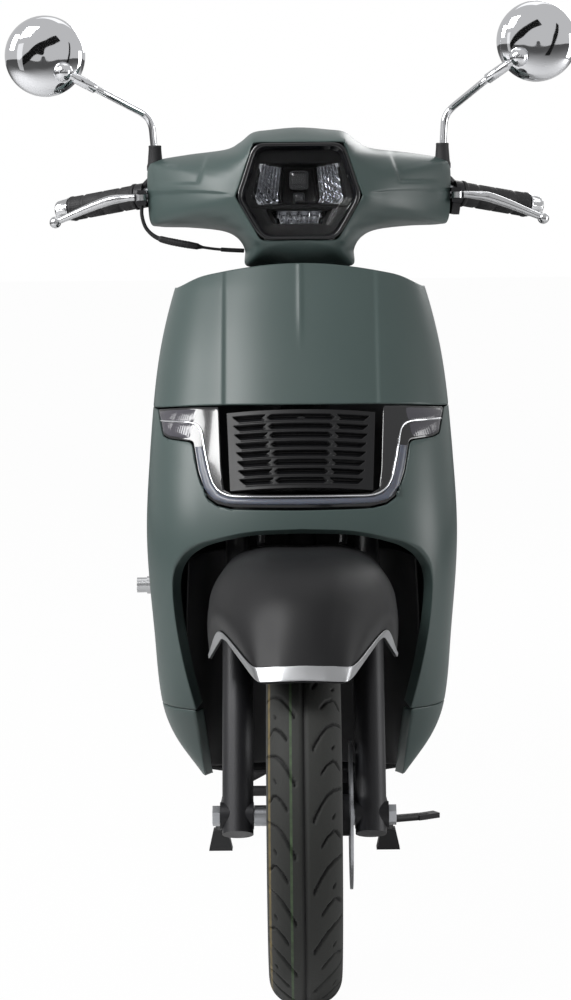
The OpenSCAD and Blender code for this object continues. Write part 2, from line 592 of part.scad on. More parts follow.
module frame() color(dark) bike() difference() {
    frame_tubes();
    on_steer() {
        translate([0, 0, head_low - 1]) cylinder(h = head_high - head_low + 2, r = stem_tube_r + run_gap);
        translate([0, 0, head_low + race_h]) cylinder(h = head_high - head_low - 2 * race_h, r = head_bore);
    }
    cross_rod(-rail_x - 30, rail_x + 30, pivot_y, pivot_z, pivot_r);
}
module swingarm_axle() color(silver) bike() {
    cross_rod(-rail_x - rail_r - 6, rail_x + rail_r + 6, pivot_y, pivot_z, pivot_r - run_gap);
    both() cross_rod(rail_x + rail_r + fit_gap, rail_x + rail_r + 9, pivot_y, pivot_z, 13, $fn = 6);
}

// Grab rail: a bent tube that goes round the end of the seat, on two struts
rail_tube_r = 9;
grab_path = [for (p = [[0, 200, 752], [0.467, 190, 750], [0.76, 140, 744], [0.98, 20, 738]])
    [p[0] * seat_w / 2, rear_y + p[1], p[2]]];
strut_top = [0.493 * seat_w / 2, rear_y + 176, 748];
module grab_rail() color(satin_black) bike() both() {
    bent_tube(grab_path, rail_tube_r);
    rod([44, rear_y + 128, seat_rail_z + 7 + upright_r], strut_top, rail_tube_r - 1.5);
}

// Storage bucket: an open tub under the seat, resting on the seat rails by its flange
bucket_half = 92;
bucket_front_y = rear_y - 552;
bucket_end_y = rear_y - 250;
bucket_low_z = 440;
bucket_flange_z = seat_rail_z + upright_r + fit_gap;
module storage_bucket() color(dark) bike() difference() {
    union() {
        translate([-bucket_half, bucket_front_y, bucket_low_z])
            cube([2 * bucket_half, bucket_end_y - bucket_front_y, bucket_flange_z - bucket_low_z + wall]);
        translate([-upright_x - 4, bucket_front_y + 6, bucket_flange_z])
            cube([2 * upright_x + 8, bucket_end_y - bucket_front_y - 12, wall]);
    }
    translate([-bucket_half + wall, bucket_front_y + wall, bucket_low_z + wall])
        cube([2 * bucket_half - 2 * wall, bucket_end_y - bucket_front_y - 2 * wall, 400]);
}

// Battery pack: a ribbed case on the two straps between the floor rails
battery_low_z = rail_z - rail_r - 1 + strap_t + fit_gap;
battery_half = rail_x - rail_r - 3;
battery_front_y = 410;
battery_len = rear_y - 574 - battery_front_y;
battery_h = 66;
rib_end = 14;
rib_step = battery_len / 6;
module battery_pack() color([0.15, 0.16, 0.17]) bike() {
    translate([-battery_half, battery_front_y, battery_low_z])
        cube([2 * battery_half, battery_len, battery_h]);
    for (k = [0:5]) translate([-battery_half - 1.5, battery_front_y + rib_end + rib_step * k,
        battery_low_z + 6])
        cube([2 * battery_half + 3, 0.4 * rib_step, battery_h - 12]);
    translate([-30, battery_front_y + 20, battery_low_z + battery_h - 6]) cube([60, 16, 16]);
}

// Key switch on the inner leg shield, turned by a key slot
key_x = 52;
key_z = 838;
key_y = 438;
module key_switch() color(silver) bike() translate([key_x, key_y, key_z]) rotate([-90, 0, 0]) difference() {
    union() {
        cylinder(h = 10, r = 13);
        cylinder(h = 16, r = 8);
    }
    translate([-1.2, -5, 9]) cube([2.4, 10, 10]);
}

// Seat
seat_front_y = rear_y - 612;
seat_end_y = rear_y + 100;
seat_base_z = hinge_z + 8;
seat_base_t = 6;
// Rows of the seat: distance behind its front, half width and height, each as a share
seat_rows = [[0, 0.62, 0.72], [0.06, 0.74, 0.97], [0.25, 0.86, 0.98], [0.48, 1, 0.95], [0.6, 0.99, 1.12],
    [0.85, 0.88, 1.2], [0.96, 0.8, 1.16], [1, 0.7, 0.86]];
module seat_base() color(dark) bike() {
    difference() {
        translate([0, seat_front_y + 6, seat_base_z]) linear_extrude(seat_base_t) polygon(concat(
            [for (r = seat_rows) [r[1] * seat_w / 2 - 7, r[0] * (seat_end_y - seat_front_y - 12)]],
            [for (k = [len(seat_rows) - 1:-1:0]) let (r = seat_rows[k])
                [-r[1] * seat_w / 2 + 7, r[0] * (seat_end_y - seat_front_y - 12)]]));
        translate([-bucket_half + 12, bucket_front_y + 20, seat_base_z - 1])
            cube([2 * bucket_half - 24, bucket_end_y - bucket_front_y - 40, 3]);
    }
    // Hinge knuckle and the two rests over the seat rails
    difference() {
        union() {
            cross_rod(-hinge_half, hinge_half, hinge_y, hinge_z, 7.5);
            translate([-hinge_half, hinge_y - 4, hinge_z])
                cube([2 * hinge_half, 8, seat_base_z - hinge_z + 1]);
        }
        cross_rod(-hinge_half - 1, hinge_half + 1, hinge_y, hinge_z, hinge_pin_r + run_gap);
    }
    both() translate([upright_x - 10, rear_y - 160, seat_rail_z + upright_r + fit_gap])
        cube([20, 40, seat_base_z - seat_rail_z - upright_r]);
}
seat_sides = 28;
seat_steps = 26;
// Outline of one slice: flat underneath, drawn-in sides and a crowned top with two sewn channels
function seat_slice(f) = let (r = along(seat_rows, f), w = r[1] * seat_w / 2, h = r[2] * seat_h,
    y = seat_front_y + r[0] * (seat_end_y - seat_front_y), z0 = seat_base_z + seat_base_t + fit_gap)
    [for (i = [0:seat_sides - 1]) let (a = 360 * i / seat_sides, c = cos(a), s = sin(a),
        x = w * sign(c) * pow(abs(c), 0.55), up = 0.5 + 0.5 * sign(s) * pow(abs(s), 0.6),
        crown = 1 - 0.12 * pow(x / w, 2),
        waist = 1 - 0.05 * sin(180 * min(1, up * 1.2)))
        [x * waist, y, z0 + h * up * crown]];
seat_channel = 3;
seat_channels = [0.5, 0.74];
function seat_dip(f) = max([for (c = seat_channels) exp(-pow((f - c) * 60, 2))]);
module seat_cushion() color([0.09, 0.09, 0.1]) bike()
    skin([for (k = [0:seat_steps]) let (f = k / seat_steps) [for (p = seat_slice(f))
        [p[0], p[1], p[2] - (p[2] > seat_base_z + 30 ? seat_channel * seat_dip(f) : 0)]]]);

// Centre stand: two legs with rubber feet, a brace and a foot lever on the rider's left
foot_y = stand_y - 32;
foot_h = 31;
module centre_stand() color(dark) bike() {
    difference() {
        cross_rod(-stand_lug_x + fit_gap, stand_lug_x - fit_gap, stand_y, stand_z, 12);
        cross_rod(-stand_lug_x, stand_lug_x, stand_y, stand_z, stand_pin_r + run_gap);
    }
    both() {
        difference() {
            bent_tube([[stand_lug_x - 14, stand_y, stand_z], [stand_lug_x - 11, stand_y - 2, 128],
                [foot_x - 16, stand_y - 8, 94],
                [foot_x, foot_y, foot_h - 6]], 10);
            cross_rod(-stand_lug_x, stand_lug_x, stand_y, stand_z, stand_pin_r + run_gap);
        }
        translate([foot_x, foot_y + 13, 0]) rotate([90, 0, 0]) linear_extrude(26)
            polygon([[-18, 0], [18, 0], [11, foot_h], [-11, foot_h]]);
    }
    cross_rod(-foot_x + 16, foot_x - 16, stand_y - 10, 86, 8);
    rod([foot_x - 4, foot_y + 2, 44], [foot_x + 62, foot_y + 42, 40], 6);
    translate([foot_x + 50, foot_y + 26, 36]) rotate([0, 0, 32]) cube([38, 18, 8]);
}

// Side stand, folded back under the floor
module side_stand() color(dark) bike() {
    difference() {
        union() {
            cross_rod(side_stand_x, side_stand_x + 18, side_stand_y, side_stand_z, 13);
            rod([side_stand_x + 9, side_stand_y, side_stand_z],
                [side_stand_x + 30, side_stand_y + 180, side_stand_z - 22], 8);
        }
        cross_rod(side_stand_x - 1, side_stand_x + 19, side_stand_y, side_stand_z, stand_pin_r + run_gap);
    }
    translate([side_stand_x + 19, side_stand_y + 172, side_stand_z - 29]) cube([24, 26, 14]);
}

// Passenger pegs: the rider's right one is out, the left one is folded back
peg_len = 92;
module peg() difference() {
    union() {
        cylinder(h = 34, r = 11, center = true);
        rotate([0, 90, 0]) translate([0, 0, 6]) cylinder(h = peg_len, r = peg_r - 2);
        for (k = [0:3]) rotate([0, 90, 0]) translate([0, 0, 24 + k * 16]) cylinder(h = 10, r = peg_r);
    }
    cylinder(h = 40, r = peg_pin_r + run_gap, center = true);
}
module peg_left() color(rubber) bike() translate([peg_root_x, peg_y, peg_z]) rotate([0, 0, 90]) peg();
module peg_right() color(rubber) bike() translate([-peg_root_x, peg_y, peg_z]) rotate([0, 0, 180]) peg();

// Swingarm
arm_x = 84;
arm_r = 13;
dropout_half = 6;
module swingarm() color(dark) bike() difference() {
    union() {
        cross_rod(-rail_x + rail_r + fit_gap, rail_x - rail_r - fit_gap, pivot_y, pivot_z, 20);
        both() {
            skin(tube_rings([[rail_x - rail_r - 20, pivot_y + 2, pivot_z],
                [rail_x - rail_r - 17, pivot_y + 34, pivot_z - 1], [arm_x, pivot_y + 92, pivot_z - 2],
                [arm_x, rear_y - 16, rear_axle_z + 2]], arm_r, 16, [0, 0, 1]));
            cross_rod(arm_x - dropout_half, arm_x + dropout_half, rear_y, rear_axle_z, 24);
            translate([arm_x - 6, shock_low[1] - 14, rear_axle_z])
                cube([12, 28, shock_low[2] - rear_axle_z + 12]);
            cross_rod(arm_x, shock_x + eye_half + 2, shock_low[1], shock_low[2], shock_stud_r);
        }
    }
    cross_rod(-rail_x, rail_x, pivot_y, pivot_z, pivot_r);
    cross_rod(-arm_x - 30, arm_x + 30, rear_y, rear_axle_z, axle_r + run_gap);
}
module rear_axle() color(silver) bike() {
    cross_rod(-arm_x - 24, arm_x + 24, rear_y, rear_axle_z, axle_r);
    both() {
        cross_rod(arm_x + dropout_half + fit_gap, arm_x + dropout_half + 11, rear_y, rear_axle_z, 14,
            $fn = 6);
        cross_rod(motor_half + 1, arm_x - dropout_half - fit_gap, rear_y, rear_axle_z, 13);
    }
}

// Wheels
tyre_points = 16;
rim_r = tyre_r - tyre_h;
rim_half = 31;
crown_h = 35;
tyre_mid_r = tyre_r - crown_h;
// Half outline of a tyre from the bead to the crown, as [radius, half width]
function tyre_edge(k) = let (a = -90 + 180 * k / tyre_points) a < 0
    ? [tyre_mid_r + (tyre_mid_r - rim_r) * sin(a), tyre_w / 2 * (0.62 + 0.38 * cos(a))]
    : [tyre_mid_r + (tyre_r - tyre_mid_r) * sin(a), tyre_w / 2 * pow(cos(a), 0.75)];
groove_w = 4;
groove_d = 5;
cavity = [[0, 22], [34, 36], [60, 24]];
module tyre_profile() {
    edge = [for (k = [0:tyre_points]) let (e = tyre_edge(k)) [e[0], max(e[1], groove_w / 2)]];
    floor_r = tyre_r - groove_d;
    polygon(concat(edge, [[floor_r, groove_w / 2], [floor_r, -groove_w / 2]],
        [for (k = [tyre_points:-1:0]) [edge[k][0], -edge[k][1]]],
        [for (c = cavity) [rim_r + c[0], -c[1]]], [for (k = [2:-1:0]) [rim_r + cavity[k][0],
            cavity[k][1]]]));
}
module wheel_spin() rotate([0, 90, 0]) rotate_extrude($fn = 96) children();
module tyre() wheel_spin() tyre_profile();
module rim_band() wheel_spin() polygon([[rim_r - fit_gap, -rim_half + 8], [rim_r - 14, -14],
    [rim_r - 14, 14],
    [rim_r - fit_gap, rim_half - 8], [rim_r - fit_gap, rim_half], [rim_r - 5, rim_half], [rim_r - 20, 18],
        [rim_r - 20, -18],
    [rim_r - 5, -rim_half], [rim_r - fit_gap, -rim_half]]);
hub_half = 44;
hub_r = 30;
spokes = 6;
module front_tyre() color(rubber) bike() translate([0, 0, tyre_r]) tyre();
module front_rim() color(satin_black) bike() translate([0, 0, tyre_r]) difference() {
    union() {
        rim_band();
        rotate([0, 90, 0]) cylinder(h = 2 * hub_half, r = hub_r, center = true);
        rotate([0, 90, 0]) translate([0, 0, hub_half - 2])
            cylinder(h = disc_x - disc_t / 2 - hub_half + 2 - fit_gap, r = 26);
        for (k = [0:spokes - 1]) rotate([360 * k / spokes, 0, 0]) for (x = [-9, 9])
            translate([x, 0, hub_r - 5]) rotate([0, x * 0.5, 0]) cylinder(h = rim_r - hub_r - 12, r = 8);
    }
    cross_rod(-100, 100, 0, 0, axle_r + run_gap);
}
disc_x = 58;
module brake_disc() color(silver) bike() translate([disc_x, 0, tyre_r]) rotate([0, 90, 0]) difference() {
    cylinder(h = disc_t, r = disc_r, center = true);
    cylinder(h = disc_t + 2, r = 20, center = true);
    for (k = [0:5]) rotate(60 * k) {
        translate([44, 0, 0]) cylinder(h = disc_t + 2, r = 15, center = true);
        for (m = [0:2]) rotate(20 * m) translate([72 + 5 * m, 0, 0])
            cylinder(h = disc_t + 2, r = 4, center = true);
    }
}
motor_half = 46;
motor_r = 112;
module rear_tyre() color(rubber) bike() translate([0, rear_y, rear_axle_z]) tyre();
module rear_hub_motor() color(satin_black) bike() translate([0, rear_y, rear_axle_z]) difference() {
    union() {
        rim_band();
        wheel_spin() polygon([[axle_r, -motor_half], [60, -motor_half], [motor_r, -motor_half + 12],
            [rim_r - 16, -12],
            [rim_r - 16, 12], [motor_r, motor_half - 12], [60, motor_half], [axle_r, motor_half]]);
        for (k = [0:17]) rotate([20 * k, 0, 0]) translate([-motor_half + 6, -2, 62])
            cube([2 * motor_half - 12, 4, 44]);
    }
    cross_rod(-100, 100, 0, 0, axle_r + run_gap);
}

// Rear shocks, drawn along their own axis from the upper eye down to the lower one
shock_len = norm(shock_low - shock_top);
seat_top = 42;
seat_low = shock_len - 34;
coil_r = 18.5;
coil_rings = 8;
damper_r = 12;
shaft_r = 6;
module on_shock() both() aim(shock_top, shock_low) children();
shock_eye_turn = -atan2(shock_low[1] - shock_top[1], shock_low[0] - shock_top[0]);
module eye(bore) rotate(shock_eye_turn) rotate([0, 90, 0]) difference() {
    cylinder(h = 2 * eye_half, r = 12.5, center = true);
    cylinder(h = 2 * eye_half + 2, r = bore, center = true);
}
module shock_bodies() color(satin_black) bike() on_shock() {
    eye(shock_stud_r + run_gap);
    difference() {
        union() {
            translate([0, 0, 11.5]) cylinder(h = 140, r = damper_r);
            translate([0, 0, seat_top - 5]) cylinder(h = 5, r = coil_r + 5);
        }
        translate([0, 0, 34]) cylinder(h = 140, r = shaft_r + run_gap);
        rotate(shock_eye_turn) rotate([0, 90, 0]) cylinder(h = 60, r = shock_stud_r + run_gap,
            center = true);
    }
}
eye_slack = 1.2;
module shock_rods() color(silver) bike() on_shock() {
    translate([0, 0, shock_len]) eye(shock_stud_r + eye_slack);
    translate([0, 0, 96]) cylinder(h = seat_low - 96 + 1, r = shaft_r);
    translate([0, 0, seat_low]) cylinder(h = 5, r = coil_r + 5);
    translate([0, 0, seat_low + 4]) cylinder(h = shock_len - seat_low - 14, r = 9);
}
spring_gap = 0.4;
spring_z0 = seat_top + spring_wire_r + spring_gap;
spring_z1 = seat_low - spring_wire_r - spring_gap;
spring_points = [for (k = [0:spring_turns * coil_rings]) let (a = 360 * k / coil_rings)
    [coil_r * cos(a), coil_r * sin(a), spring_z0 + (spring_z1
        - spring_z0) * k / (spring_turns * coil_rings)]];
echo(least_spring_gap = min([for (i = [0:coil_rings],
    j = [coil_rings - 1:len(spring_points) - 1]) if (j - i >= coil_rings - 1)
    norm(spring_points[i] - spring_points[j])]) - 2 * spring_wire_r);
module shock_springs() color(chrome) bike() on_shock()
    skin(tube_rings(spring_points, spring_wire_r, 6, [0, 0, 1]));

// Fork. Places in the steering frame are [across, behind the axis, up the axis].
crown_low = 640;
crown_t = 26;
slider_top = 566;
stanchion_low = axle_up + 22 + fork_travel + 4;
clamp_up = (408 + trail) * sin(rake) + 1012 * cos(rake);
clamp_back = (408 + trail) * cos(rake) - 1012 * sin(rake);
stay_x = 52;
stay_drop = 42;
stay_back = axle_fore - 20;
function steer_point(p) = [p[0], -trail + p[2] * sin(rake) + p[1] * cos(rake),
    p[2] * cos(rake) - p[1] * sin(rake)];
module steering_fork() color(dark) bike() on_steer() difference() {
    union() {
        translate([0, 0, crown_low]) cylinder(h = clamp_up - crown_low, r = stem_tube_r);
        translate([-leg_x, axle_fore - 26, crown_low]) cube([2 * leg_x, 50, crown_t]);
        translate([0, 0, crown_low + crown_t - 1]) cylinder(h = head_low - crown_low - crown_t + 1
            - fit_gap, r = head_r);
        cross_rod(-30, 30, clamp_back, clamp_up, 20);
        both() {
            translate([leg_x, axle_fore, crown_low]) cylinder(h = crown_t, r = 25);
            translate([leg_x, axle_fore, stanchion_low])
                cylinder(h = crown_low - stanchion_low + 2, r = stanchion_r);
            translate([stay_x, stay_back, crown_low - stay_drop]) cylinder(h = stay_drop + 2, r = 6);
        }
    }
    cross_rod(-40, 40, clamp_back, clamp_up, bar_r + run_gap);
}
caliper_turn = 34;
caliper_r = 78;
caliper_outer_x = disc_x + 14;
module on_caliper() translate([0, axle_fore, axle_up]) rotate([caliper_turn, 0, 0]) children();
module fork_sliders() color(dark) bike() on_steer() {
    both() difference() {
        union() {
            translate([leg_x, axle_fore, axle_up - 24]) cylinder(h = slider_top - axle_up + 24,
                r = slider_r);
            cross_rod(leg_x - slider_r - 0.5, leg_x + slider_r + 2.5, axle_fore, axle_up, 17);
            translate([leg_x, axle_fore, slider_top - 16]) cylinder(h = 12, r = slider_r + 1.5);
        }
        translate([leg_x, axle_fore, axle_up + 22]) cylinder(h = slider_top, r = stanchion_r + run_gap);
        cross_rod(0, leg_x + 60, axle_fore, axle_up, axle_r + run_gap);
    }
    // Caliper lug behind the left leg
    on_caliper() translate([caliper_outer_x + fit_gap, axle_r + 3, -12]) cube([9, caliper_r - axle_r, 24]);
}
module front_axle() color(silver) bike() {
    cross_rod(-leg_x - slider_r - 12, leg_x + slider_r + 12, 0, tyre_r, axle_r);
    both() cross_rod(leg_x + slider_r + 2.5 + fit_gap, leg_x + slider_r + 12, 0, tyre_r, 13, $fn = 6);
    cross_rod(-leg_x + slider_r + 1, -hub_half - fit_gap, 0, tyre_r, 13);
    cross_rod(disc_x + disc_t / 2 + fit_gap, leg_x - slider_r - 1, 0, tyre_r, 13);
}
module brake_caliper() color(satin_black) bike() on_steer() on_caliper() difference() {
    union() {
        translate([disc_x - 14, disc_r - 36, -22]) cube([28, 48, 44]);
        cross_rod(disc_x - 20, disc_x - 8, caliper_r, 0, 14);
    }
    translate([disc_x - disc_t / 2 - 1, disc_r - 60, -40]) cube([disc_t + 2, 63, 80]);
}

// Front fender: a domed shell with a notch on each side in front of the fork leg
fender_stay = steer_point([stay_x, stay_back, crown_low - stay_drop]);
fender_stay_yz = [fender_stay[1] + 2, fender_stay[2] - 2.6];
// Rows of the fender, as places above the axle
fender_rows = [
    [[0, -186, 201], [28, -186, 200], [52, -178, 198], [97, -18, 230], [117, 40, 191]],
    [[0, -122, 295], [42, -114, 290], [82, -84, 270], [111, -4, 253], [119, 54, 207]],
    [[0, -20, 328], [48, -16, 325], [90, 0, 308], [114, 42, 275], [121, 74, 225]],
    [[0, fender_stay_yz[0], fender_stay_yz[1] - tyre_r],
        [stay_x, fender_stay_yz[0], fender_stay_yz[1] - tyre_r],
        [88, 112, 310], [111, 84, 279], [121, 92, 243]]];
fender_net = [for (row = fender_rows) full_row([for (p = row) p + [0, 0, tyre_r]])];
module front_fender() color([0.2, 0.2, 0.21]) bike() panel(net_grid(fender_net, 24, 10), wall * 0.8);
trim_shares = [0.03, 0.3, 0.58];
trim_t = 1.4;
module fender_trim() color(silver) bike() {
    g = net_grid(fender_net, 24, 10);
    strip = [for (f = trim_shares) g[0] + (g[1] - g[0]) * f];
    slab(lifted(strip, 2.6 * fit_gap + trim_t), lifted(strip, 2.6 * fit_gap));
}

// Headlight, drawn on its own leaning plane: x across, y up, z to the front
head_y = 285;
head_z = 1001.5;
head_lean = 8;
module on_head() translate([0, head_y, head_z]) rotate([90 - head_lean, 0, 0]) children();
function head_point(p) = [p[0], head_y + p[1] * sin(head_lean), head_z + p[1] * cos(head_lean)];
// Right half of the bezel's outline, from the top round to the bottom
head_half = [[0, 71], [30, 71], [57, 71], [62, 66], [66, 53.5], [71, 38], [75, 25.5], [79, 13], [83.5, 2],
    [83, -3], [75, -17], [68, -29.5], [60, -43], [53, -55], [46, -59], [30, -59], [15, -59], [0, -59]];
function mirrored(half) = concat(half, [for (k = [len(half) - 2:-1:1]) [-half[k][0], half[k][1]]]);
bezel_share = 0.99;
opening_share = 0.86;
module head_outline(share) polygon([for (p = mirrored(head_half)) p * share]);
module headlight_bezel() color(dark) bike() on_head() translate([0, 0, -16]) linear_extrude(18)
    difference() {
    head_outline(bezel_share);
    head_outline(opening_share);
}
module headlight_lens() color(clear) bike() on_head() translate([0, 0, -6]) linear_extrude(3.5)
    head_outline(opening_share - 0.008);
lamp_bowl = [[-52, 46], [52, 46], [62, 0], [54, -10], [-54, -10], [-62, 0]];
low_bowl = [[-45, -15], [45, -15], [35, -36], [-35, -36]];
module headlight_reflector() color(chrome) bike() on_head() {
    difference() {
        translate([0, 0, -56]) linear_extrude(56 - 16 - fit_gap) head_outline(opening_share + 0.06);
        translate([0, 0, -46]) linear_extrude(60) polygon(lamp_bowl);
        translate([0, 0, -34]) linear_extrude(60) polygon(low_bowl);
    }
    translate([-13, 8, -47]) cube([26, 26, 18]);
    translate([0, 21, -30]) sphere(r = 11);
    translate([-5, -6, -47]) cube([10, 9, 16]);
}

// Handlebar cover: two shells that meet on a parting line round the outline seen from the front
neck_half = 71.5;
neck_z = 908;
cover_outline = [[0, 372, 1093], [40, 373, 1090], [62, 375, 1086.5], [79, 380, 1074], [99, 386, 1064.5],
    [150, 402, 1058.5], [cover_half - 9, 416, 1050.5], [cover_half, 412, 1040], [cover_half, 404, 1000],
    [cover_half - 3, 408, 967], [cover_half - 16, 414, 961], [149, 405, 959.5], [106, 392, 955],
        [85, 382, 946],
    [neck_half + 2.5, 374, 930], [neck_half, 366, neck_z], [neck_half / 2, 318, neck_z], [0, 303, neck_z]];
cover_fall = [1.6, 1.6, 1.6, 1.5, 1.4, 1.3, 1.25, 1.25, 1.25, 1.25, 1.25, 1.3, 1.5, 1.8, 2, 2, 1.5, 1.2];
function cover_share(v, n) = 1 - pow(max(0, 1 - pow(v, n)), 1 / n);
function cover_point(k, v) = let (h = head_point(head_half[k]), o = cover_outline[k],
    p = h + (o - h) * v) [p[0], h[1] + (o[1] - h[1]) * cover_share(v, cover_fall[k]), p[2]];
cover_vs = [0, 0.15, 0.4, 0.65, 0.85, 0.95, 1];
function cover_loop(v) = let (n = len(head_half), half = [for (k = [0:n - 1]) cover_point(k, v)])
    concat(half, [for (k = [n - 2:-1:1]) flip_x(half[k])]);
mirror_hole = [cover_half - 10, 417];
mirror_hole_r = 9.6;
module mirror_holes() both() translate([mirror_hole[0], mirror_hole[1], 1030])
    cylinder(h = 40, r = mirror_hole_r);
module bar_cover_front() color(body_green) bike() difference() {
    g = [for (v = cover_vs) cover_loop(v)];
    under = lifted(g, -wall, true);
    back = wall * [0, cos(head_lean), -sin(head_lean)];
    slab(g, concat([[for (p = g[0]) p + back]], [for (j = [1:len(g) - 1]) under[j]]), true);
    mirror_holes();
}
cover_back_y = 455;
rear_set = [0, 0.5, 0];
rear_sweep = 0.00024;
rear_low = [[0, 425, neck_z], [36, 417, neck_z], [60, 398, neck_z], [70.5, 373, neck_z], [75, 376, 931],
    [86, 384, 947],
    [107, 394, 956], [149, 407, 960.5], [188, 418, 962], [cover_half - 3, 452, 978]];
rear_top = [[0, 374, 1092], [36, 375, 1090], [60, 377, 1086], [70.5, 379, 1080], [75, 380, 1076.5],
    [86, 384, 1069.5],
    [107, 390, 1063], [149, 404, 1058], [188, 418, 1051.5], [cover_half - 3, 452, 1034]];
function rear_mid(k, f, d) = let (a = rear_low[k], b = rear_top[k], p = a + (b - a) * f)
    [p[0], cover_back_y + rear_sweep * pow(p[0], 2) - d, p[2]];
module bar_cover_rear() color(satin_black) bike() difference() {
    panel(net_grid([full_row([for (p = rear_low) p + rear_set]),
        full_row([for (k = [0:9]) rear_mid(k, 0.28, 8)]),
        full_row([for (k = [0:9]) rear_mid(k, 0.72, 4)]), full_row([for (p = rear_top) p + rear_set])], 36,
            8), -wall);
    mirror_holes();
}

// Handlebar: one bent tube with a weight at each end
bar_bend = [cover_half - 6, 426, 1006];
bar_end = [cover_half + bar_reach, 486, 981];
bar_dir = unit(bar_end - bar_bend);
bar_len = norm(bar_end - bar_bend);
grip_start = 23;
twist_gap = run_gap + 0.04;
weight_start = grip_start + grip_len + 1.5;
module on_bar() aim(bar_bend, bar_end) children();
module on_right_bar() aim(flip_x(bar_bend), flip_x(bar_end)) children();
bar_mid = [110, 408, 1012];
bar_core_r = bar_r - 0.6;
module handlebar() color(dark) bike() {
    cross_rod(-bar_mid[0] + 14, bar_mid[0] - 14, bar_mid[1], bar_mid[2], bar_r);
    both() {
        skin(tube_rings([bar_mid - [30, 0, 0], bar_mid, bar_bend, bar_bend + 20 * bar_dir], bar_core_r, 16,
            [0, 0, 1]));
        on_bar() translate([0, 0, 4]) cylinder(h = bar_len - 8, r = bar_r);
        on_bar() translate([0, 0, weight_start]) cylinder(h = bar_len - weight_start, r1 = 16, r2 = 14);
    }
}
module grip(bore) rotate_extrude() polygon([[bore, 0], [grip_r + 1.5, 0], [grip_r + 1.5, 5], [grip_r, 7],
    [grip_r, 24],
    [grip_r - 1.2, 25], [grip_r - 1.2, 28], [grip_r, 29], [grip_r, 84], [grip_r - 1.2, 85],
        [grip_r - 1.2, 88], [grip_r, 89],
    [grip_r, grip_len], [bore, grip_len]]);
module left_grip() color(rubber) bike() on_bar() translate([0, 0, grip_start]) grip(bar_r + run_gap);
module throttle_grip() color(rubber) bike() on_right_bar() translate([0, 0, grip_start])
    grip(bar_r + twist_gap);

// Lever perches: a clamp on the bar, ears for the lever and a boss for the mirror
perch_at = 16;
perch_c = bar_bend + bar_dir * perch_at;
lever_pivot = [perch_c[0] - 1, perch_c[1] - 34, 1001];
lever_pin_r = 4;
lever_half = 4.5;
ear_t = 5;
boss_top = 1041;
button_r = 5;
pod_down = 22;
module perch() difference() {
    union() {
        on_bar() translate([0, 0, perch_at - 6]) cylinder(h = 12, r = 17);
        for (z = [lever_pivot[2] + lever_half + 0.4, lever_pivot[2] - lever_half - 0.4 - ear_t])
            translate([lever_pivot[0] - 6, lever_pivot[1] - 9, z]) cube([12, 30, ear_t]);
        translate([lever_pivot[0], lever_pivot[1], lever_pivot[2] - lever_half - 3])
            cylinder(h = 2 * lever_half + 6, r = lever_pin_r);
        rod([perch_c[0] - 2, perch_c[1], 1014], [mirror_hole[0], mirror_hole[1], 1030], 6);
        translate([mirror_hole[0], mirror_hole[1], 1024]) cylinder(h = boss_top - 1024, r = 7);
    }
    on_bar() cylinder(h = 40, r = bar_r + run_gap);
    translate(bar_bend) sphere(r = bar_r * bend_swell + fit_gap);
}
module lever_perches() color(satin_black) bike() {
    both() perch();
    difference() {
        on_bar() translate([12, -9, perch_at - 6]) cube([17, 18, 12]);
        on_bar() translate([pod_down, 2, perch_at]) rotate([-90, 0, 0])
            cylinder(h = 30, r = button_r + run_gap);
    }
}
module horn_button() color([0.5, 0.1, 0.1]) bike() on_bar() translate([pod_down, 4.6, perch_at])
    rotate([-90, 0, 0])
    cylinder(h = 8.4, r = button_r);

// Brake levers: flat blades that end in a ball
lever_knee = bar_bend + [58, -21, -6];
lever_bend = bar_bend + [106, -5, -20];
lever_tip = bar_bend + [135, 5, -32];
module blade(a, b, r0, r1) hull() {
    translate(a) sphere(r = r0, $fn = 18);
    translate(b) sphere(r = r1, $fn = 18);
}
module lever() difference() {
    union() {
        translate([lever_pivot[0], lever_pivot[1], lever_pivot[2] - lever_half])
            cylinder(h = 2 * lever_half, r = 7.5);
        blade(lever_pivot + [12, 1.5, 0], lever_knee, 4.4, 6.5);
        translate([lever_pivot[0], lever_pivot[1] - 4, lever_pivot[2] - lever_half])
            cube([15, 9, 2 * lever_half]);
        blade(lever_knee, lever_bend, 6.5, 5.2);
        blade(lever_bend, lever_tip, 5.2, 4.5);
        translate(lever_tip) sphere(r = 8);
    }
    translate([lever_pivot[0], lever_pivot[1], 900]) cylinder(h = 200, r = lever_pin_r + run_gap);
}
module brake_lever_left() color(silver) bike() lever();
module brake_lever_right() color(silver) bike() mirror([1, 0, 0]) lever();

// Brake cable from the right perch, under the cover and into the side of the neck
cable_r = 3;
cable_x = -cover_half - 8;
cable_route = [[cable_x, 398, 990], [cable_x, 399, 976], [cable_x + 5, 401, 960], [cable_x + 17, 402, 948],
    [cable_x + 34, 402, 942],
    [-150, 401, 936],
    [-120, 400, 931], [-98, 396, 929], [-76, 388, 928]];
cable_rings = 40;
module brake_cable() color(rubber) bike()
    skin(tube_rings([for (k = [0:cable_rings]) along(cable_route, k / cable_rings)], cable_r, 8,
        [0, 1, 0]));

// Mirrors: the rider's left one sits a little higher than the right one
mirror_left = [321, 372, 1205];
mirror_right = [-340, 372, 1191];
ball_r = 9;
ball_offset = [26, -24, -22];
left_ball = mirror_left - [ball_offset[0], 0, 0] + [0, ball_offset[1], ball_offset[2]];
right_ball = mirror_right + ball_offset;
socket_gap = 0.3;
boot_h = 30;
boot_r = [9, 6.5];
sleeve_r = 7;
sleeve_shares = [0.1, 0.55];
stem_sides = 16;
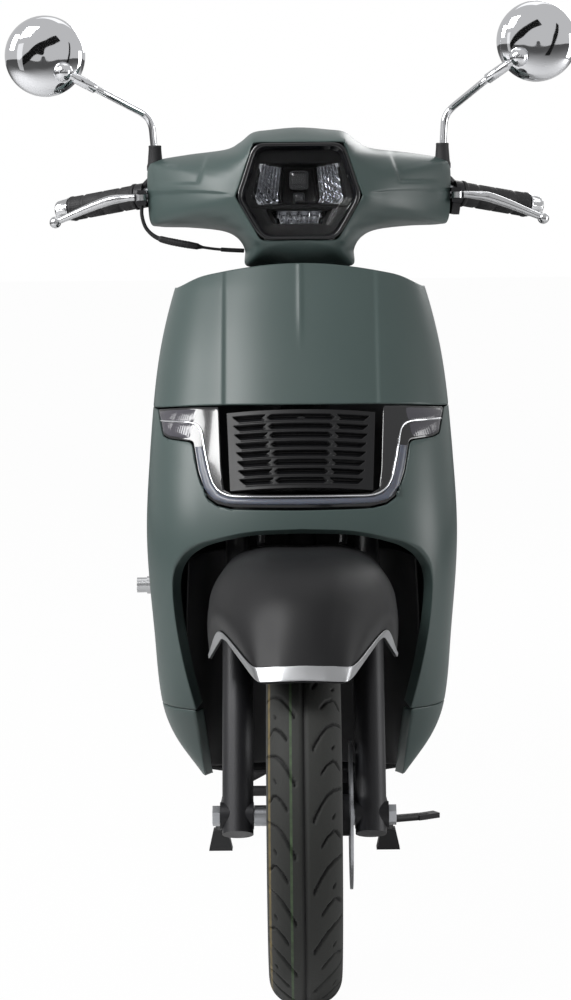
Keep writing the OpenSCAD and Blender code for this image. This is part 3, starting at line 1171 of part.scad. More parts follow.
// Turns of the ball's rings from its middle, the first where the stem enters it
ball_turns = [-acos(stem_r / ball_r), -36, -12, 12, 36, 60, 80];
module mirror_stem(foot, p, ball) {
    boot_top = foot + [0, 0, boot_h];
    a = p[2] + (ball - p[2]) * sleeve_shares[0];
    b = p[2] + (ball - p[2]) * sleeve_shares[1];
    to_ball = unit(ball - p[2]);
    skin(tube_rings(concat([foot, boot_top, boot_top, p[0], p[1], p[2], a, a, b, b],
            [for (t = ball_turns) ball + to_ball * ball_r * sin(t)]),
        concat([boot_r[0], boot_r[1], stem_r, stem_r, stem_r, stem_r, stem_r, sleeve_r, sleeve_r, stem_r],
            [for (t = ball_turns) ball_r * cos(t)]), stem_sides, [0, 1, 0]));
}
stem_foot = [mirror_hole[0], mirror_hole[1], boss_top + fit_gap];
left_stem = [[mirror_hole[0] + 3, 416, 1106], [mirror_hole[0] + 11, 415, 1117], [250, 366, 1152]];
right_stem = [[-mirror_hole[0] - 4, 416, 1102], [-mirror_hole[0] - 12, 415, 1113], [-268, 365, 1145]];
module mirror_stems() color(dark) bike() {
    mirror_stem(stem_foot, left_stem, left_ball);
    mirror_stem(flip_x(stem_foot), right_stem, right_ball);
}
glass_set = 2;
rim_set = 5;
module mirror_head(c, ball, knee) difference() {
    union() {
        translate(c) rotate([90, 0, 0]) rotate_extrude($fn = 96)
            polygon([[0, -glass_set], [mirror_r - 2.5, -glass_set],
            [mirror_r - 2.5, -rim_set], [mirror_r, -rim_set], [mirror_r, 0], [mirror_r - 4, 9],
                [mirror_r - 16, 17],
            [mirror_r - 34, 21.5], [0, 23]]);
        translate(ball) sphere(r = ball_r + 4);
    }
    translate(ball) sphere(r = ball_r + socket_gap);
    rod(ball, ball + unit(knee - ball) * 40, stem_r + 3.4);
}
module mirror_head_left() color(chrome) bike() mirror_head(mirror_left, left_ball, left_stem[2]);
module mirror_head_right() color(chrome) bike() mirror_head(mirror_right, right_ball, right_stem[2]);
module mirror_glass(c) translate(c + [0, glass_set + fit_gap, 0]) rotate([-90, 0, 0])
    cylinder(h = rim_set - glass_set - fit_gap, r = mirror_r - 2.5 - fit_gap, $fn = 96);
module mirror_glass_left() color([0.8, 0.85, 0.9]) bike() mirror_glass(mirror_left);
module mirror_glass_right() color([0.8, 0.85, 0.9]) bike() mirror_glass(mirror_right);

frame();
swingarm_axle();
front_cover();
front_apron();
lower_wings();
front_grille();
light_bar_housing();
light_bar_lens();
wheel_arch_liner();
inner_leg_shield();
floorboard();
belly_pan();
side_panels();
seat_skirt();
tail_light();
rear_mudguard();
grab_rail();
storage_bucket();
battery_pack();
key_switch();
seat_base();
seat_cushion();
centre_stand();
side_stand();
peg_left();
peg_right();
swingarm();
rear_axle();
rear_tyre();
rear_hub_motor();
shock_bodies();
shock_rods();
shock_springs();
steering_fork();
handlebar();
bar_cover_front();
bar_cover_rear();
headlight_bezel();
headlight_lens();
headlight_reflector();
left_grip();
lever_perches();
brake_cable();
front_fender();
fender_trim();
mirror_stems();
throttle_grip();
brake_lever_left();
brake_lever_right();
mirror_head_left();
mirror_head_right();
mirror_glass_left();
mirror_glass_right();
horn_button();
fork_sliders();
front_axle();
brake_caliper();
front_tyre();
front_rim();
brake_disc();
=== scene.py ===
# %% [markdown]
# # A moped scooter, dressed for its portrait
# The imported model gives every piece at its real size. This lesson gives them their looks: smooth panels in
# place of faceted ones, finishes worked out by nodes, and a studio like the one the scooter was seen in.

# %% Load the frame
import json
import math

import bpy
import numpy as np
from mathutils import Matrix, Vector


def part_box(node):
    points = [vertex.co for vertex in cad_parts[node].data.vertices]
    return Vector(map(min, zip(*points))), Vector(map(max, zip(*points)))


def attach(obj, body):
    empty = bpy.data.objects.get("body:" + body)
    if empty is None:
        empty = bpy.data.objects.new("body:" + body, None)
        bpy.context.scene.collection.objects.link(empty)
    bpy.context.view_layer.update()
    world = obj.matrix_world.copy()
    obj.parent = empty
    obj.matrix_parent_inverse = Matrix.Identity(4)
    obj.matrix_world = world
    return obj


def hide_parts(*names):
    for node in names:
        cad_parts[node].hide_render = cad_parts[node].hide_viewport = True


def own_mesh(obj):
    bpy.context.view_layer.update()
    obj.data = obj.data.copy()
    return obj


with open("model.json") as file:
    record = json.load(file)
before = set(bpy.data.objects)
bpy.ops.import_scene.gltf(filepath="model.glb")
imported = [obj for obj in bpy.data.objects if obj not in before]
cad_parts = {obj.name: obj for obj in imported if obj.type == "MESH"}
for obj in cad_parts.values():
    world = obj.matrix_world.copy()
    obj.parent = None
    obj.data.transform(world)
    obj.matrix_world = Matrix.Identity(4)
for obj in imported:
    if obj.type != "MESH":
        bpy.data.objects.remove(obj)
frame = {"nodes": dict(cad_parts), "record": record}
scene = bpy.context.scene
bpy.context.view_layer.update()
nodes = frame["nodes"]
slot_of = {part["node"]: part["material_slot"] for part in frame["record"]["subparts"]}
body_of = {}
for body_name, members in frame["record"]["behaviour"]["bodies"].items():
    body_of.update(dict.fromkeys(members, body_name))

# %% [markdown]
# ## Where things are
# The shapes below are written in millimetres, x across and z up, with y counted back from the front axle.
# That is how a scooter is drawn on paper. One function carries such points into the part's own frame. Left
# and right in the name of a piece are the rider's own.

# %% From the drawing to the frame
MM = 0.001
X_FLIP = np.array([-1, 1, 1])


def middle_of(node):
    """Middle of a node's box, in metres."""
    low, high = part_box(node)
    return (np.array(low) + np.array(high)) / 2


FRONT_AXLE = middle_of("front_axle")
REAR_AXLE = middle_of("rear_axle")
REAR_Y = (REAR_AXLE[1] - FRONT_AXLE[1]) / MM


def to_frame(points):
    """Points of the drawing, moved back by the front axle's place and turned to metres."""
    return np.asarray(points, float) * MM + (0.0, FRONT_AXLE[1], 0.0)


print("wheelbase", round(REAR_Y), "mm")

# %% [markdown]
# ## The camera
# The view is nearly straight on, from about the height of the headlight, through a long lens. The picture
# leans by half a degree, and so does the camera. It comes first, because all else is judged by it.

# %% Camera
CAMERA_SIDE = -0.001
CAMERA_AHEAD = 3.4
CAMERA_UP = 1.0
CAMERA_PITCH = math.radians(-6.23)
CAMERA_YAW = math.radians(-0.32)
CAMERA_ROLL = math.radians(0.53)
PICTURE_HIGH = 1000
FOCAL_PIXELS = 2776
SENSOR = 36.0


def aim_camera():
    """Camera turned by yaw about z, then by pitch about its own side, then by roll about its own view."""
    forward = np.array([math.sin(CAMERA_YAW) * math.cos(CAMERA_PITCH),
                        math.cos(CAMERA_YAW) * math.cos(CAMERA_PITCH), math.sin(CAMERA_PITCH)])
    side = np.array([math.cos(CAMERA_YAW), -math.sin(CAMERA_YAW), 0.0])
    up = np.cross(side, forward)
    turned_side = math.cos(CAMERA_ROLL) * side - math.sin(CAMERA_ROLL) * up
    turned_up = math.sin(CAMERA_ROLL) * side + math.cos(CAMERA_ROLL) * up
    lens = bpy.data.cameras.new("camera")
    lens.sensor_width = SENSOR
    lens.lens = SENSOR * FOCAL_PIXELS / PICTURE_HIGH
    camera = bpy.data.objects.new("camera", lens)
    place = (CAMERA_SIDE, FRONT_AXLE[1] - CAMERA_AHEAD, CAMERA_UP)
    turn = Matrix((turned_side, turned_up, -forward)).transposed().to_4x4()
    camera.matrix_world = Matrix.Translation(place) @ turn
    scene.collection.objects.link(camera)
    scene.camera = camera


aim_camera()
print("camera", CAMERA_AHEAD, "m ahead of the front axle and", CAMERA_UP, "m up")

# %% [markdown]
# ## The lamps
# Moulded panels show their form by slow changes of light, so the lamps are broad, as the softboxes of a
# studio are. The strongest hangs high at the left of the camera. The others draw the edges from the sides,
# from above and from behind.

# %% Lamps
# Place, target, width and height, and power of each lamp
LAMPS = {
    "main_lamp": ((-1.6, -2.1, 3.0), (0, -0.4, 0.8), (1.2, 1.2), 74),
    "left_lamp": ((-2.3, -2.8, 1.2), (0, -0.45, 0.6), (0.7, 2.0), 2),
    "right_lamp": ((2.6, -0.8, 0.9), (0, -0.35, 0.6), (0.9, 1.6), 25),
    "side_lamp": ((-2.7, -1.2, 2.3), (0, -0.3, 0.85), (0.9, 1.2), 50),
    "top_lamp": ((0.2, 0.5, 3.4), (0, 0.2, 0.6), (1.8, 1.8), 7),
    "back_lamp": ((1.5, 3.2, 2.4), (0, 0.2, 0.7), (2.2, 1.6), 40),
}


def hang_lamp(name, place, target, size, watts):
    """Rectangular lamp at a place, turned to face a target."""
    light = bpy.data.lights.new(name, "AREA")
    light.shape = "RECTANGLE"
    light.size, light.size_y = size
    light.energy = watts
    lamp = bpy.data.objects.new(name, light)
    turn = (Vector(target) - Vector(place)).to_track_quat("-Z", "Y")
    lamp.matrix_world = Matrix.Translation(place) @ turn.to_matrix().to_4x4()
    scene.collection.objects.link(lamp)


for lamp_name, lamp_facts in LAMPS.items():
    hang_lamp(lamp_name, *lamp_facts)
scene.view_settings.view_transform = "Standard"
print("lamps:", len(LAMPS))

# %% [markdown]
# ## The room and the floor
# The scooter stands in a white studio, whose walls and floor would flood it with light. So they are white
# only to rays that come straight from the camera. To the scooter they are a dim room, a paler one where it
# shines. The floor is matte and keeps a trace of the shadow under an even glow.

# %% Room and floor
def add(tree, kind, inputs=None, **settings):
    """New shader node with its settings; each input takes a plain value or another node's output."""
    made = tree.nodes.new("ShaderNode" + kind)
    for key, value in settings.items():
        setattr(made, key, value)
    for socket, value in (inputs or {}).items():
        if isinstance(value, bpy.types.NodeSocket):
            tree.links.new(value, made.inputs[socket])
        else:
            made.inputs[socket].default_value = value
    return made


def seen_directly(tree):
    """1 for rays that come straight from the camera and show the background itself."""
    return add(tree, "LightPath").outputs["Is Camera Ray"]


ROOM_LIGHT = 0.10
ROOM_SHINE = 0.6
FLOOR_COLOUR = (0.86, 0.86, 0.86, 1)
FLOOR_GLOW = 0.98
FLOOR_HALF = 30.0
WHITE = (1, 1, 1, 1)


def light_room():
    """World that is white to look at, pale in reflections and a dim room to be lit by."""
    world = bpy.data.worlds.new("room")
    scene.world = world
    world.use_nodes = True
    tree = world.node_tree
    shiny = add(tree, "LightPath").outputs["Is Glossy Ray"]
    level = add(tree, "MapRange", {"Value": shiny, "To Min": ROOM_LIGHT, "To Max": ROOM_SHINE})
    level = add(tree, "MapRange", {"Value": seen_directly(tree), "To Min": level.outputs[0],
                                   "To Max": 1.0})
    shade = tree.nodes["Background"]
    shade.inputs["Color"].default_value = WHITE
    tree.links.new(level.outputs[0], shade.inputs["Strength"])


def flat_sheet(name, corners):
    """Object with one four-sided face."""
    mesh = bpy.data.meshes.new(name)
    mesh.from_pydata(corners, [], [(0, 1, 2, 3)])
    sheet = bpy.data.objects.new(name, mesh)
    scene.collection.objects.link(sheet)
    return sheet


def lay_floor():
    """Wide flat floor: a pale matte surface that takes the shadow, mostly hidden by an even white glow."""
    half = FLOOR_HALF
    floor = flat_sheet("floor", [(-half, -half, 0), (half, -half, 0), (half, half, 0), (-half, half, 0)])
    material = bpy.data.materials.new("floor")
    material.use_nodes = True
    tree = material.node_tree
    tree.nodes.remove(tree.nodes["Principled BSDF"])
    matte = add(tree, "BsdfDiffuse", {"Color": FLOOR_COLOUR})
    glow = add(tree, "Emission", {"Color": WHITE, "Strength": 1.0})
    share = add(tree, "Math", {0: seen_directly(tree), 1: FLOOR_GLOW}, operation="MULTIPLY")
    mixed = add(tree, "MixShader", {0: share.outputs[0], 1: matte.outputs[0], 2: glow.outputs[0]})
    tree.links.new(mixed.outputs[0], tree.nodes["Material Output"].inputs["Surface"])
    floor.data.materials.append(material)


light_room()
lay_floor()
print("floor", 2 * FLOOR_HALF, "m wide")

# %% [markdown]
# ## Finishes
# Every finish is a small tree of nodes on object coordinates: a colour that drifts a little, a roughness
# that drifts too, and a fine bump. Paint has almost no grain, moulded plastic has a fine one, rubber a
# coarse one. One function makes them all, so that they differ only in their numbers.

# %% How a finish is made
CLOUD_SCALE = 7.0
BUMP_REACH = 0.002


def linear(red, green, blue):
    """Screen colour from 0 to 255 as linear light."""
    share = np.array([red, green, blue]) / 255
    light = np.where(share <= 0.04045, share / 12.92, ((share + 0.055) / 1.055) ** 2.4)
    return (*light.tolist(), 1.0)


def shaded(colour, factor):
    """A colour made darker or lighter."""
    return (*[channel * factor for channel in colour[:3]], 1.0)


def grained(name, colour, rough, metal=0.0, drift=0.06, grain=900.0, depth=0.02, rough_drift=0.06,
            stretch=(1, 1, 1), **sockets):
    """Finish with a drifting colour and roughness and a fine bump; stretch draws the grain out into lines."""
    material = bpy.data.materials.new(name)
    material.use_nodes = True
    tree = material.node_tree
    shader = tree.nodes["Principled BSDF"]
    shader.inputs["Metallic"].default_value = metal
    for socket, value in sockets.items():
        shader.inputs[socket.replace("_", " ")].default_value = value
    place = add(tree, "TexCoord").outputs["Object"]
    drawn = add(tree, "Mapping", {"Vector": place, "Scale": stretch}).outputs[0]
    cloud = add(tree, "TexNoise", {"Vector": place, "Scale": CLOUD_SCALE, "Detail": 3.0})
    tint = add(tree, "MixRGB", {0: cloud.outputs[0], 1: shaded(colour, 1 - drift),
                                2: shaded(colour, 1 + drift)})
    tree.links.new(tint.outputs[0], shader.inputs["Base Color"])
    fine = add(tree, "TexNoise", {"Vector": drawn, "Scale": grain, "Detail": 2.0})
    wear = add(tree, "MapRange", {"Value": cloud.outputs[0], "From Min": 0.3, "From Max": 0.7,
                                  "To Min": rough - rough_drift, "To Max": rough + rough_drift})
    tree.links.new(wear.outputs[0], shader.inputs["Roughness"])
    bump = add(tree, "Bump", {"Height": fine.outputs[0], "Strength": depth, "Distance": BUMP_REACH})
    tree.links.new(bump.outputs[0], shader.inputs["Normal"])
    return material


# %% [markdown]
# ## Tyre rubber
# A new tyre carries coloured lines round its tread, left over from the sorting of the rubber strips it is
# made of. The lines are worked out from the distance across the tyre and broken up by noise, as if worn. Two
# values stored on the tyre's mesh say how deep in a groove a place is, and whether it may carry a line.
# The groove depth also paints shade: the rubber darkens towards black deep in the grooves.

# %% Tyre rubber
# Painted shade: the colour that the rubber darkens to deep in the grooves
GROOVE_PAINTED_SHADE = linear(9, 9, 10)
# Place across the tyre, half width and colour of each line
TYRE_LINES = ((-0.0157, 0.0015, linear(76, 100, 66)), (-0.0412, 0.0013, linear(128, 112, 70)))


def striped_tyre():
    """Tyre rubber: dull black, with painted shade darkening the grooves, and two coloured lines round the
    marked tread.
    """
    material = grained("tyre_rubber", linear(36, 37, 35), 0.76, drift=0.18, grain=420.0, depth=0.16)
    tree = material.node_tree
    shader = tree.nodes["Principled BSDF"]
    base = shader.inputs["Base Color"].links[0].from_socket
    place = add(tree, "TexCoord").outputs["Object"]
    across = add(tree, "SeparateXYZ", {0: place}).outputs["X"]
    groove = add(tree, "Attribute", attribute_name="groove").outputs["Fac"]
    marked = add(tree, "Attribute", attribute_name="marked").outputs["Fac"]
    # Painted shade: darker rubber where the groove is deep
    base = add(tree, "MixRGB", {0: groove, 1: base, 2: GROOVE_PAINTED_SHADE}).outputs[0]
    for middle, half, colour in TYRE_LINES:
        away = add(tree, "Math", {0: across, 1: middle}, operation="SUBTRACT").outputs[0]
        near = add(tree, "Math", {0: away, 1: 0.0, 2: half}, operation="COMPARE").outputs[0]
        noise = add(tree, "TexNoise", {"Vector": place, "Scale": 90.0})
        worn = add(tree, "Math", {0: near, 1: noise.outputs[0]}, operation="MULTIPLY").outputs[0]
        worn = add(tree, "Math", {0: worn, 1: marked}, operation="MULTIPLY").outputs[0]
        base = add(tree, "MixRGB", {0: worn, 1: base, 2: colour}).outputs[0]
    tree.links.new(base, shader.inputs["Base Color"])
    return material


# %% [markdown]
# ## The list of finishes
# Each entry is one material of the real scooter, under the name that the record gives its slot. A few more
# are for details that share a slot, such as the smoked indicators. The colours are those of the scooter in
# plain light, except two that paint shade inside the headlight: a near-black finish and a dimmed chrome.

# %% Every finish
BODY_GREEN = linear(66, 80, 78)
finishes = {
    "body_green": grained("satin_green_paint", BODY_GREEN, 0.37, drift=0.03, grain=1500.0, depth=0.012,
                          rough_drift=0.03, Specular_IOR_Level=0.45),
    "black_plastic": grained("moulded_black", linear(27, 27, 29), 0.52, grain=1100.0, depth=0.10),
    "gloss_black": grained("gloss_black", linear(15, 15, 18), 0.13, drift=0.03, depth=0.004, rough_drift=0.03,
                           Coat_Weight=0.5, Coat_Roughness=0.05),
    "fender_black": grained("satin_black_fender", linear(17, 17, 19), 0.48, drift=0.04, depth=0.03,
                            Specular_IOR_Level=0.28),
    "frame_black": grained("powder_coat", linear(24, 24, 26), 0.55, grain=800.0, depth=0.12),
    "fork_black": grained("fork_black", linear(15, 15, 17), 0.34, drift=0.03, depth=0.03),
    "alloy_black": grained("cast_black_alloy", linear(30, 30, 33), 0.46, metal=0.3, grain=500.0, depth=0.12),
    "alloy": grained("polished_alloy", linear(205, 206, 208), 0.20, metal=1.0, drift=0.04, grain=300.0,
                     depth=0.015, stretch=(1, 6, 6)),
    "steel": grained("zinc_steel", linear(176, 178, 182), 0.30, metal=1.0, grain=350.0, depth=0.03),
    "chrome": grained("chrome", linear(228, 229, 232), 0.045, metal=1.0, drift=0.01, depth=0.0,
                      rough_drift=0.01),
    "trim_silver": grained("brushed_silver", linear(170, 171, 173), 0.33, metal=1.0, drift=0.05, grain=260.0,
                           depth=0.10, stretch=(9, 9, 0.6)),
    "rubber": grained("soft_rubber", linear(25, 25, 27), 0.66, grain=700.0, depth=0.14),
    "tyre": striped_tyre(),
    "clear_lens": grained("clear_lens", (0.97, 0.98, 0.99, 1), 0.02, drift=0.02, grain=60.0, depth=0.01,
                          rough_drift=0.01, Transmission_Weight=1.0, IOR=1.12),
    "white_lens": grained("light_guide", linear(88, 89, 101), 0.34, drift=0.05, depth=0.01,
                          Subsurface_Weight=0.2, Coat_Weight=0.15),
    "red_lens": grained("red_lens", linear(150, 18, 18), 0.14, drift=0.05, depth=0.01, Coat_Weight=0.6),
    "mirror_glass": grained("mirror_glass", linear(236, 240, 244), 0.02, metal=1.0, drift=0.0, depth=0.0,
                            rough_drift=0.0),
    "seat_cover": grained("seat_vinyl", linear(30, 30, 32), 0.58, drift=0.10, grain=520.0, depth=0.35),
    "battery_case": grained("battery_case", linear(46, 48, 52), 0.5, grain=700.0, depth=0.14),
    "red_button": grained("red_button", linear(140, 26, 24), 0.38, depth=0.05),
    "smoked_lens": grained("smoked_lens", linear(62, 60, 68), 0.16, drift=0.12, Coat_Weight=0.6),
    # Painted shade: chrome dimmed below the outer chrome for the shade inside the headlight
    "shade_dimmed_chrome": grained("shade_dimmed_chrome", linear(176, 177, 180), 0.08, metal=1.0, drift=0.02, depth=0.0,
                           rough_drift=0.02),
    "grille_black": grained("grille_black", linear(15, 15, 17), 0.40, drift=0.05, depth=0.05,
                            Specular_IOR_Level=0.35),
    # Painted shade: near black for the shade inside the headlight, on its mask and the middle of its bowl
    "painted_shade_black": grained("painted_shade_black", linear(8, 8, 9), 0.45, Specular_IOR_Level=0.25),
}
# The pegs show bright metal to the front
SHINY = {"peg_right": "alloy", "peg_left": "alloy"}
for node_name, node_object in nodes.items():
    node_object.data.materials.clear()
    node_object.data.materials.append(finishes[SHINY.get(node_name, slot_of[node_name])])
print("finishes:", len(finishes))

# %% [markdown]
# ## Dark cards
# Chrome shows the room rather than a colour of its own, so in a white room it would be white all over. A
# studio hangs black cards outside the picture to give it dark streaks. Here two stand behind the camera, and
# only shiny surfaces see them.

# %% Cards
# Middle, turn about the view line, width and height of each card
CARDS = {
    "slanted_card": ((-1.6, -5.2, 1.9), math.radians(-32), (6.0, 0.9)),
    "upright_card": ((2.3, -4.6, 1.6), math.radians(24), (0.45, 4.0)),
}
CARD_TONE = 0.004
CARD_ROUGH = 0.9


def hang_card(name, place, turn, size):
    """Flat matte card that faces the scooter. Only shiny surfaces see it."""
    wide, high = size[0] / 2, size[1] / 2
    card = flat_sheet(name, [(-wide, 0, -high), (-wide, 0, high), (wide, 0, high), (wide, 0, -high)])
    card.data.transform(Matrix.Translation(place) @ Matrix.Rotation(turn, 4, "Y"))
    card.data.materials.append(grained(name, (CARD_TONE, CARD_TONE, CARD_TONE, 1), CARD_ROUGH))
    card.visible_camera = False
    card.visible_diffuse = False
    card.visible_shadow = False
    card.visible_transmission = False


for card_name, card_facts in CARDS.items():
    hang_card(card_name, *card_facts)
print("cards:", len(CARDS))

# %% [markdown]
# ## Grids into meshes
# Nearly every panel is one surface: a grid of points given by a formula in two parameters. These functions
# work out a grid's normals, its faces and its borders, whole arrays at once, and turn points and faces into
# a piece that knows the body it rides on and the node it stands for.

# %% Grid tools
def unit(vectors):
    """Vectors brought to length 1."""
    return vectors / np.maximum(np.linalg.norm(vectors, axis=-1, keepdims=True), 1e-12)


def grid_normals(grid, loop=False):
    """Unit normals of a grid: the cross product of the steps along its rows and across them."""
    along = np.roll(grid, -1, 1) - np.roll(grid, 1, 1) if loop else np.gradient(grid, axis=1)
    across = np.gradient(grid, axis=0)
    return unit(np.cross(along, across))


def grid_faces(rows, columns, loop=False, start=0):
    """Corner numbers of a grid's quads, anticlockwise as seen from the side of its normals."""
    step = np.arange(columns if loop else columns - 1)
    row, column = np.meshgrid(np.arange(rows - 1), step, indexing="ij")
    after = (column + 1) % columns
    here, above = row * columns, (row + 1) * columns
    corners = [here + column, here + after, above + after, above + column]
    return np.stack(corners, -1).reshape(-1, 4) + start


def borders(rows, columns, loop):
    """Point numbers of a grid's open borders, each as one ring that runs anticlockwise."""
    numbers = np.arange(rows * columns).reshape(rows, columns)
    if loop:
        return [numbers[0], numbers[-1][::-1]]
    return [np.concatenate([numbers[0], numbers[1:, -1], numbers[-1, -2::-1], numbers[-2:0:-1, 0]])]


def make_piece(name, points, faces, node, finish=None, sharp=None):
    """Mesh object of points in metres, with smooth faces, a finish, and the body and node it belongs to."""
    mesh = bpy.data.meshes.new(name)
    mesh.from_pydata(points.tolist(), [], [list(face) for face in faces])
    mesh.validate()
    mesh.polygons.foreach_set("use_smooth", np.ones(len(mesh.polygons), bool))
    if sharp:
        mesh.set_sharp_from_angle(angle=math.radians(sharp))
    mesh.materials.append(finishes[finish or slot_of[node]])
    piece = bpy.data.objects.new(name, mesh)
    scene.collection.objects.link(piece)
    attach(piece, body_of[node])
    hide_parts(node)
    print(name, len(mesh.vertices), "points", len(mesh.polygons), "faces")
    return piece


# %% [markdown]
# ## Panels
# A moulded panel is about as thick everywhere, and it never ends in a knife edge, because the mould couldn't
# fill one. So a panel is a grid, its copy set back by the thickness, and a half round between their borders.
# Near a tight place the half round shrinks, so that it doesn't fold over its neighbours.

# %% Panel tools
RIM_STEPS = 5
RIM_ROOM = 0.8
WALL = 3.0


def panel_arrays(grid, thickness, loop=False, base=None):
    """Points and faces of a shell under a grid: the grid, a copy of its plain base set back along the
    normals, and between their borders a half round whose middle reaches the grid's own border."""
    rows, columns = grid.shape[:2]
    base = grid if base is None else base
    normal = grid_normals(base, loop).reshape(-1, 3)
    outer = grid.reshape(-1, 3).copy()
    under = base.reshape(-1, 3) - normal * thickness
    rims = []
    for ring in borders(rows, columns, loop):
        edge = outer[ring]
        row = np.clip(ring // columns, 1, rows - 2)
        column = ring % columns if loop else np.clip(ring % columns, 1, columns - 2)
        room = np.linalg.norm(edge - outer[row * columns + column], axis=1, keepdims=True)
        radius = np.minimum(min(thickness, WALL) / 2, RIM_ROOM * room)
        run = np.roll(edge, -1, 0) - np.roll(edge, 1, 0)
        outward = unit(np.cross(run, normal[ring]))
        outer[ring] = edge - outward * radius
        under[ring] = under[ring] - outward * radius
        rims.append((ring, outward * radius))
    count = len(outer)
    points = [outer, under]
    faces = [grid_faces(rows, columns, loop), grid_faces(rows, columns, loop, count)[:, ::-1]]
    start = 2 * count
    turns = np.linspace(0, math.pi, RIM_STEPS + 1)[1:-1]
    for ring, outward in rims:
        core = (outer[ring] + under[ring]) / 2
        half_gap = (outer[ring] - under[ring]) / 2
        bulge = [core + math.cos(a) * half_gap + math.sin(a) * outward for a in turns]
        points.extend(bulge)
        size = len(ring)
        layers = [ring] + [np.arange(size) + start + size * k for k in range(len(turns))] + [ring + count]
        start += size * len(turns)
        for upper, lower in zip(layers, layers[1:]):
            faces.append(np.stack([upper, lower, np.roll(lower, -1), np.roll(upper, -1)], -1))
    return np.concatenate(points), np.concatenate(faces)


def panel(name, grid, thickness, node, loop=False, base=None, **facts):
    """Shell of the given thickness in millimetres under a grid of drawing points."""
    points, faces = panel_arrays(np.asarray(grid, float), thickness, loop, base)
    return make_piece(name, to_frame(points), faces, node, **facts)


def mirrored(grid):
    """Grid carried over from the +X half, whose first column lies in the middle, to the whole width."""
    left = grid[:, :0:-1] * X_FLIP
    return np.concatenate([left, grid], axis=1)


# %% [markdown]
# ## Curves through keys
# A draughtsman bends a thin strip of wood round a few pins and gets a fair curve. A spline does this with
# numbers: a few keys taken from the scooter give every edge and section below, and a net of keys gives a
# sheet.

# %% Curve tools
def key_place(keys, share):
    """For each share of the way, the number of the key before it and how far it is on the way to the next."""
    at = np.clip(np.asarray(share, float), 0, 1) * (len(keys) - 1)
    first = np.minimum(at.astype(int), len(keys) - 2)
    return first, at - first


def cubic(a, b, c, d, f):
    """Cubic that runs from b to c as f goes from 0 to 1, and leans on the keys a and d on either side."""
    return b + 0.5 * f * ((c - a) + f * ((2 * a - 5 * b + 4 * c - d) + f * (3 * (b - c) + d - a)))


def spline(keys, share):
    """Smooth curve through evenly spaced keys, a cubic between each two; keys beyond the ends hold them."""
    keys = np.asarray(keys, float)
    held = np.concatenate([2 * keys[:1] - keys[1:2], keys, 2 * keys[-1:] - keys[-2:-1]])
    first, f = key_place(keys, share)
    f = f.reshape(f.shape + (1,) * (keys.ndim - 1))
    return cubic(held[first], held[first + 1], held[first + 2], held[first + 3], f)


def stepped(keys, share):
    """Straight runs through evenly spaced keys."""
    keys = np.asarray(keys, float)
    first, f = key_place(keys, share)
    f = f[..., None]
    return keys[first] * (1 - f) + keys[first + 1] * f


def softened(keys, share, spread):
    """Straight runs with their corners eased: the mean of nearby places on the runs."""
    offsets = np.linspace(-spread, spread, 7)
    return np.mean([stepped(keys, share + o) for o in offsets], axis=0)


def net_surface(net, row_shares, columns):
    """Smooth grid through a net of key rows: a spline along each row, then one across at the row shares."""
    net = np.asarray(net, float)
    along = spline(np.swapaxes(net, 0, 1), np.linspace(0, 1, columns))
    return spline(np.swapaxes(along, 0, 1), row_shares)


def whole_sheet(rows, row_shares, columns):
    """Smooth grid through key rows from the middle to the +X side, carried over to the other side."""
    return net_surface(mirrored(np.asarray(rows, float)), row_shares, columns)


def smooth_step(value, low, high):
    """0 below low, 1 above high, and an even ease between."""
    t = np.clip((np.asarray(value, float) - low) / (high - low), 0, 1)
    return t * t * (3 - 2 * t)


# %% [markdown]
# ## The front body
# The leg shield is one bowed surface. At each height it has a half width, a middle and a depth, read from a
# short table, and in plan it is a squared oval. The cover, the apron and the wings are all cut from it, so
# their seams meet.

# %% Leg shield surface
SHIELD_HALF = 204
SHIELD_SQUARE = 2.4
SEAM_Z = 338
SKIRT_Z = 236
ARCH_LIP = 20
# Height, share of the half width, middle behind the axle, depth in plan
SHIELD_PROFILE = np.array([
    [SKIRT_Z, 0.66, 190, 55], [290, 0.84, 165, 80], [SEAM_Z, 0.917, 130, 105], [430, 0.96, 95, 140],
    [555, 1, 84, 150], [660, 0.983, 118, 150], [785, 0.931, 186, 140], [880, 0.825, 243, 120],
    [914, 0.74, 264, 112]], float)


def profile_at(height):
    """Profile rows at the heights: cubic pieces whose slope at a key comes from its two neighbours."""
    table = SHIELD_PROFILE
    last = len(table) - 1
    before = table[np.maximum(np.arange(last + 1) - 1, 0)]
    after = table[np.minimum(np.arange(last + 1) + 1, last)]
    slope = (after - before) / (after[:, :1] - before[:, :1])
    height = np.asarray(height, float)
    k = np.clip(np.searchsorted(table[:, 0], height, side="right") - 1, 0, last - 1)
    gap = (table[k + 1, 0] - table[k, 0])[..., None]
    f = (height - table[k, 0])[..., None] / gap
    return (table[k] * (2 * f**3 - 3 * f**2 + 1) + slope[k] * gap * (f**3 - 2 * f**2 + f)
            + table[k + 1] * (3 * f**2 - 2 * f**3) + slope[k + 1] * gap * (f**3 - f**2))


def shield_half(height):
    """Half width of the leg shield at the heights."""
    return profile_at(height)[..., 1] * SHIELD_HALF


def shield_y(x, height):
    """Distance behind the axle: the middle, plus the depth times a squared oval's fall at x."""
    row = profile_at(height)
    q = np.minimum(1, np.abs(x) / (row[..., 1] * SHIELD_HALF))
    return row[..., 2] + row[..., 3] * (1 - (1 - q**SHIELD_SQUARE) ** (1 / SHIELD_SQUARE))


def on_shield(x, height, back=0.0):
    """Points of the leg shield at x and height, moved back."""
    x, height = np.broadcast_arrays(np.asarray(x, float), np.asarray(height, float))
    return np.stack([x, shield_y(x, height) + back, height], -1)


print("leg shield", 2 * SHIELD_HALF, "mm wide")

# %% [markdown]
# ## The front cover
# The cover is the painted moulding between the light bar and the neck. Two creases run down it and a faint
# ridge marks its middle. A mould maker would cut them into the mould's steel. Here they are added to the
# depth of the leg shield's own surface, so that the cover's edges stay on the line of the body.

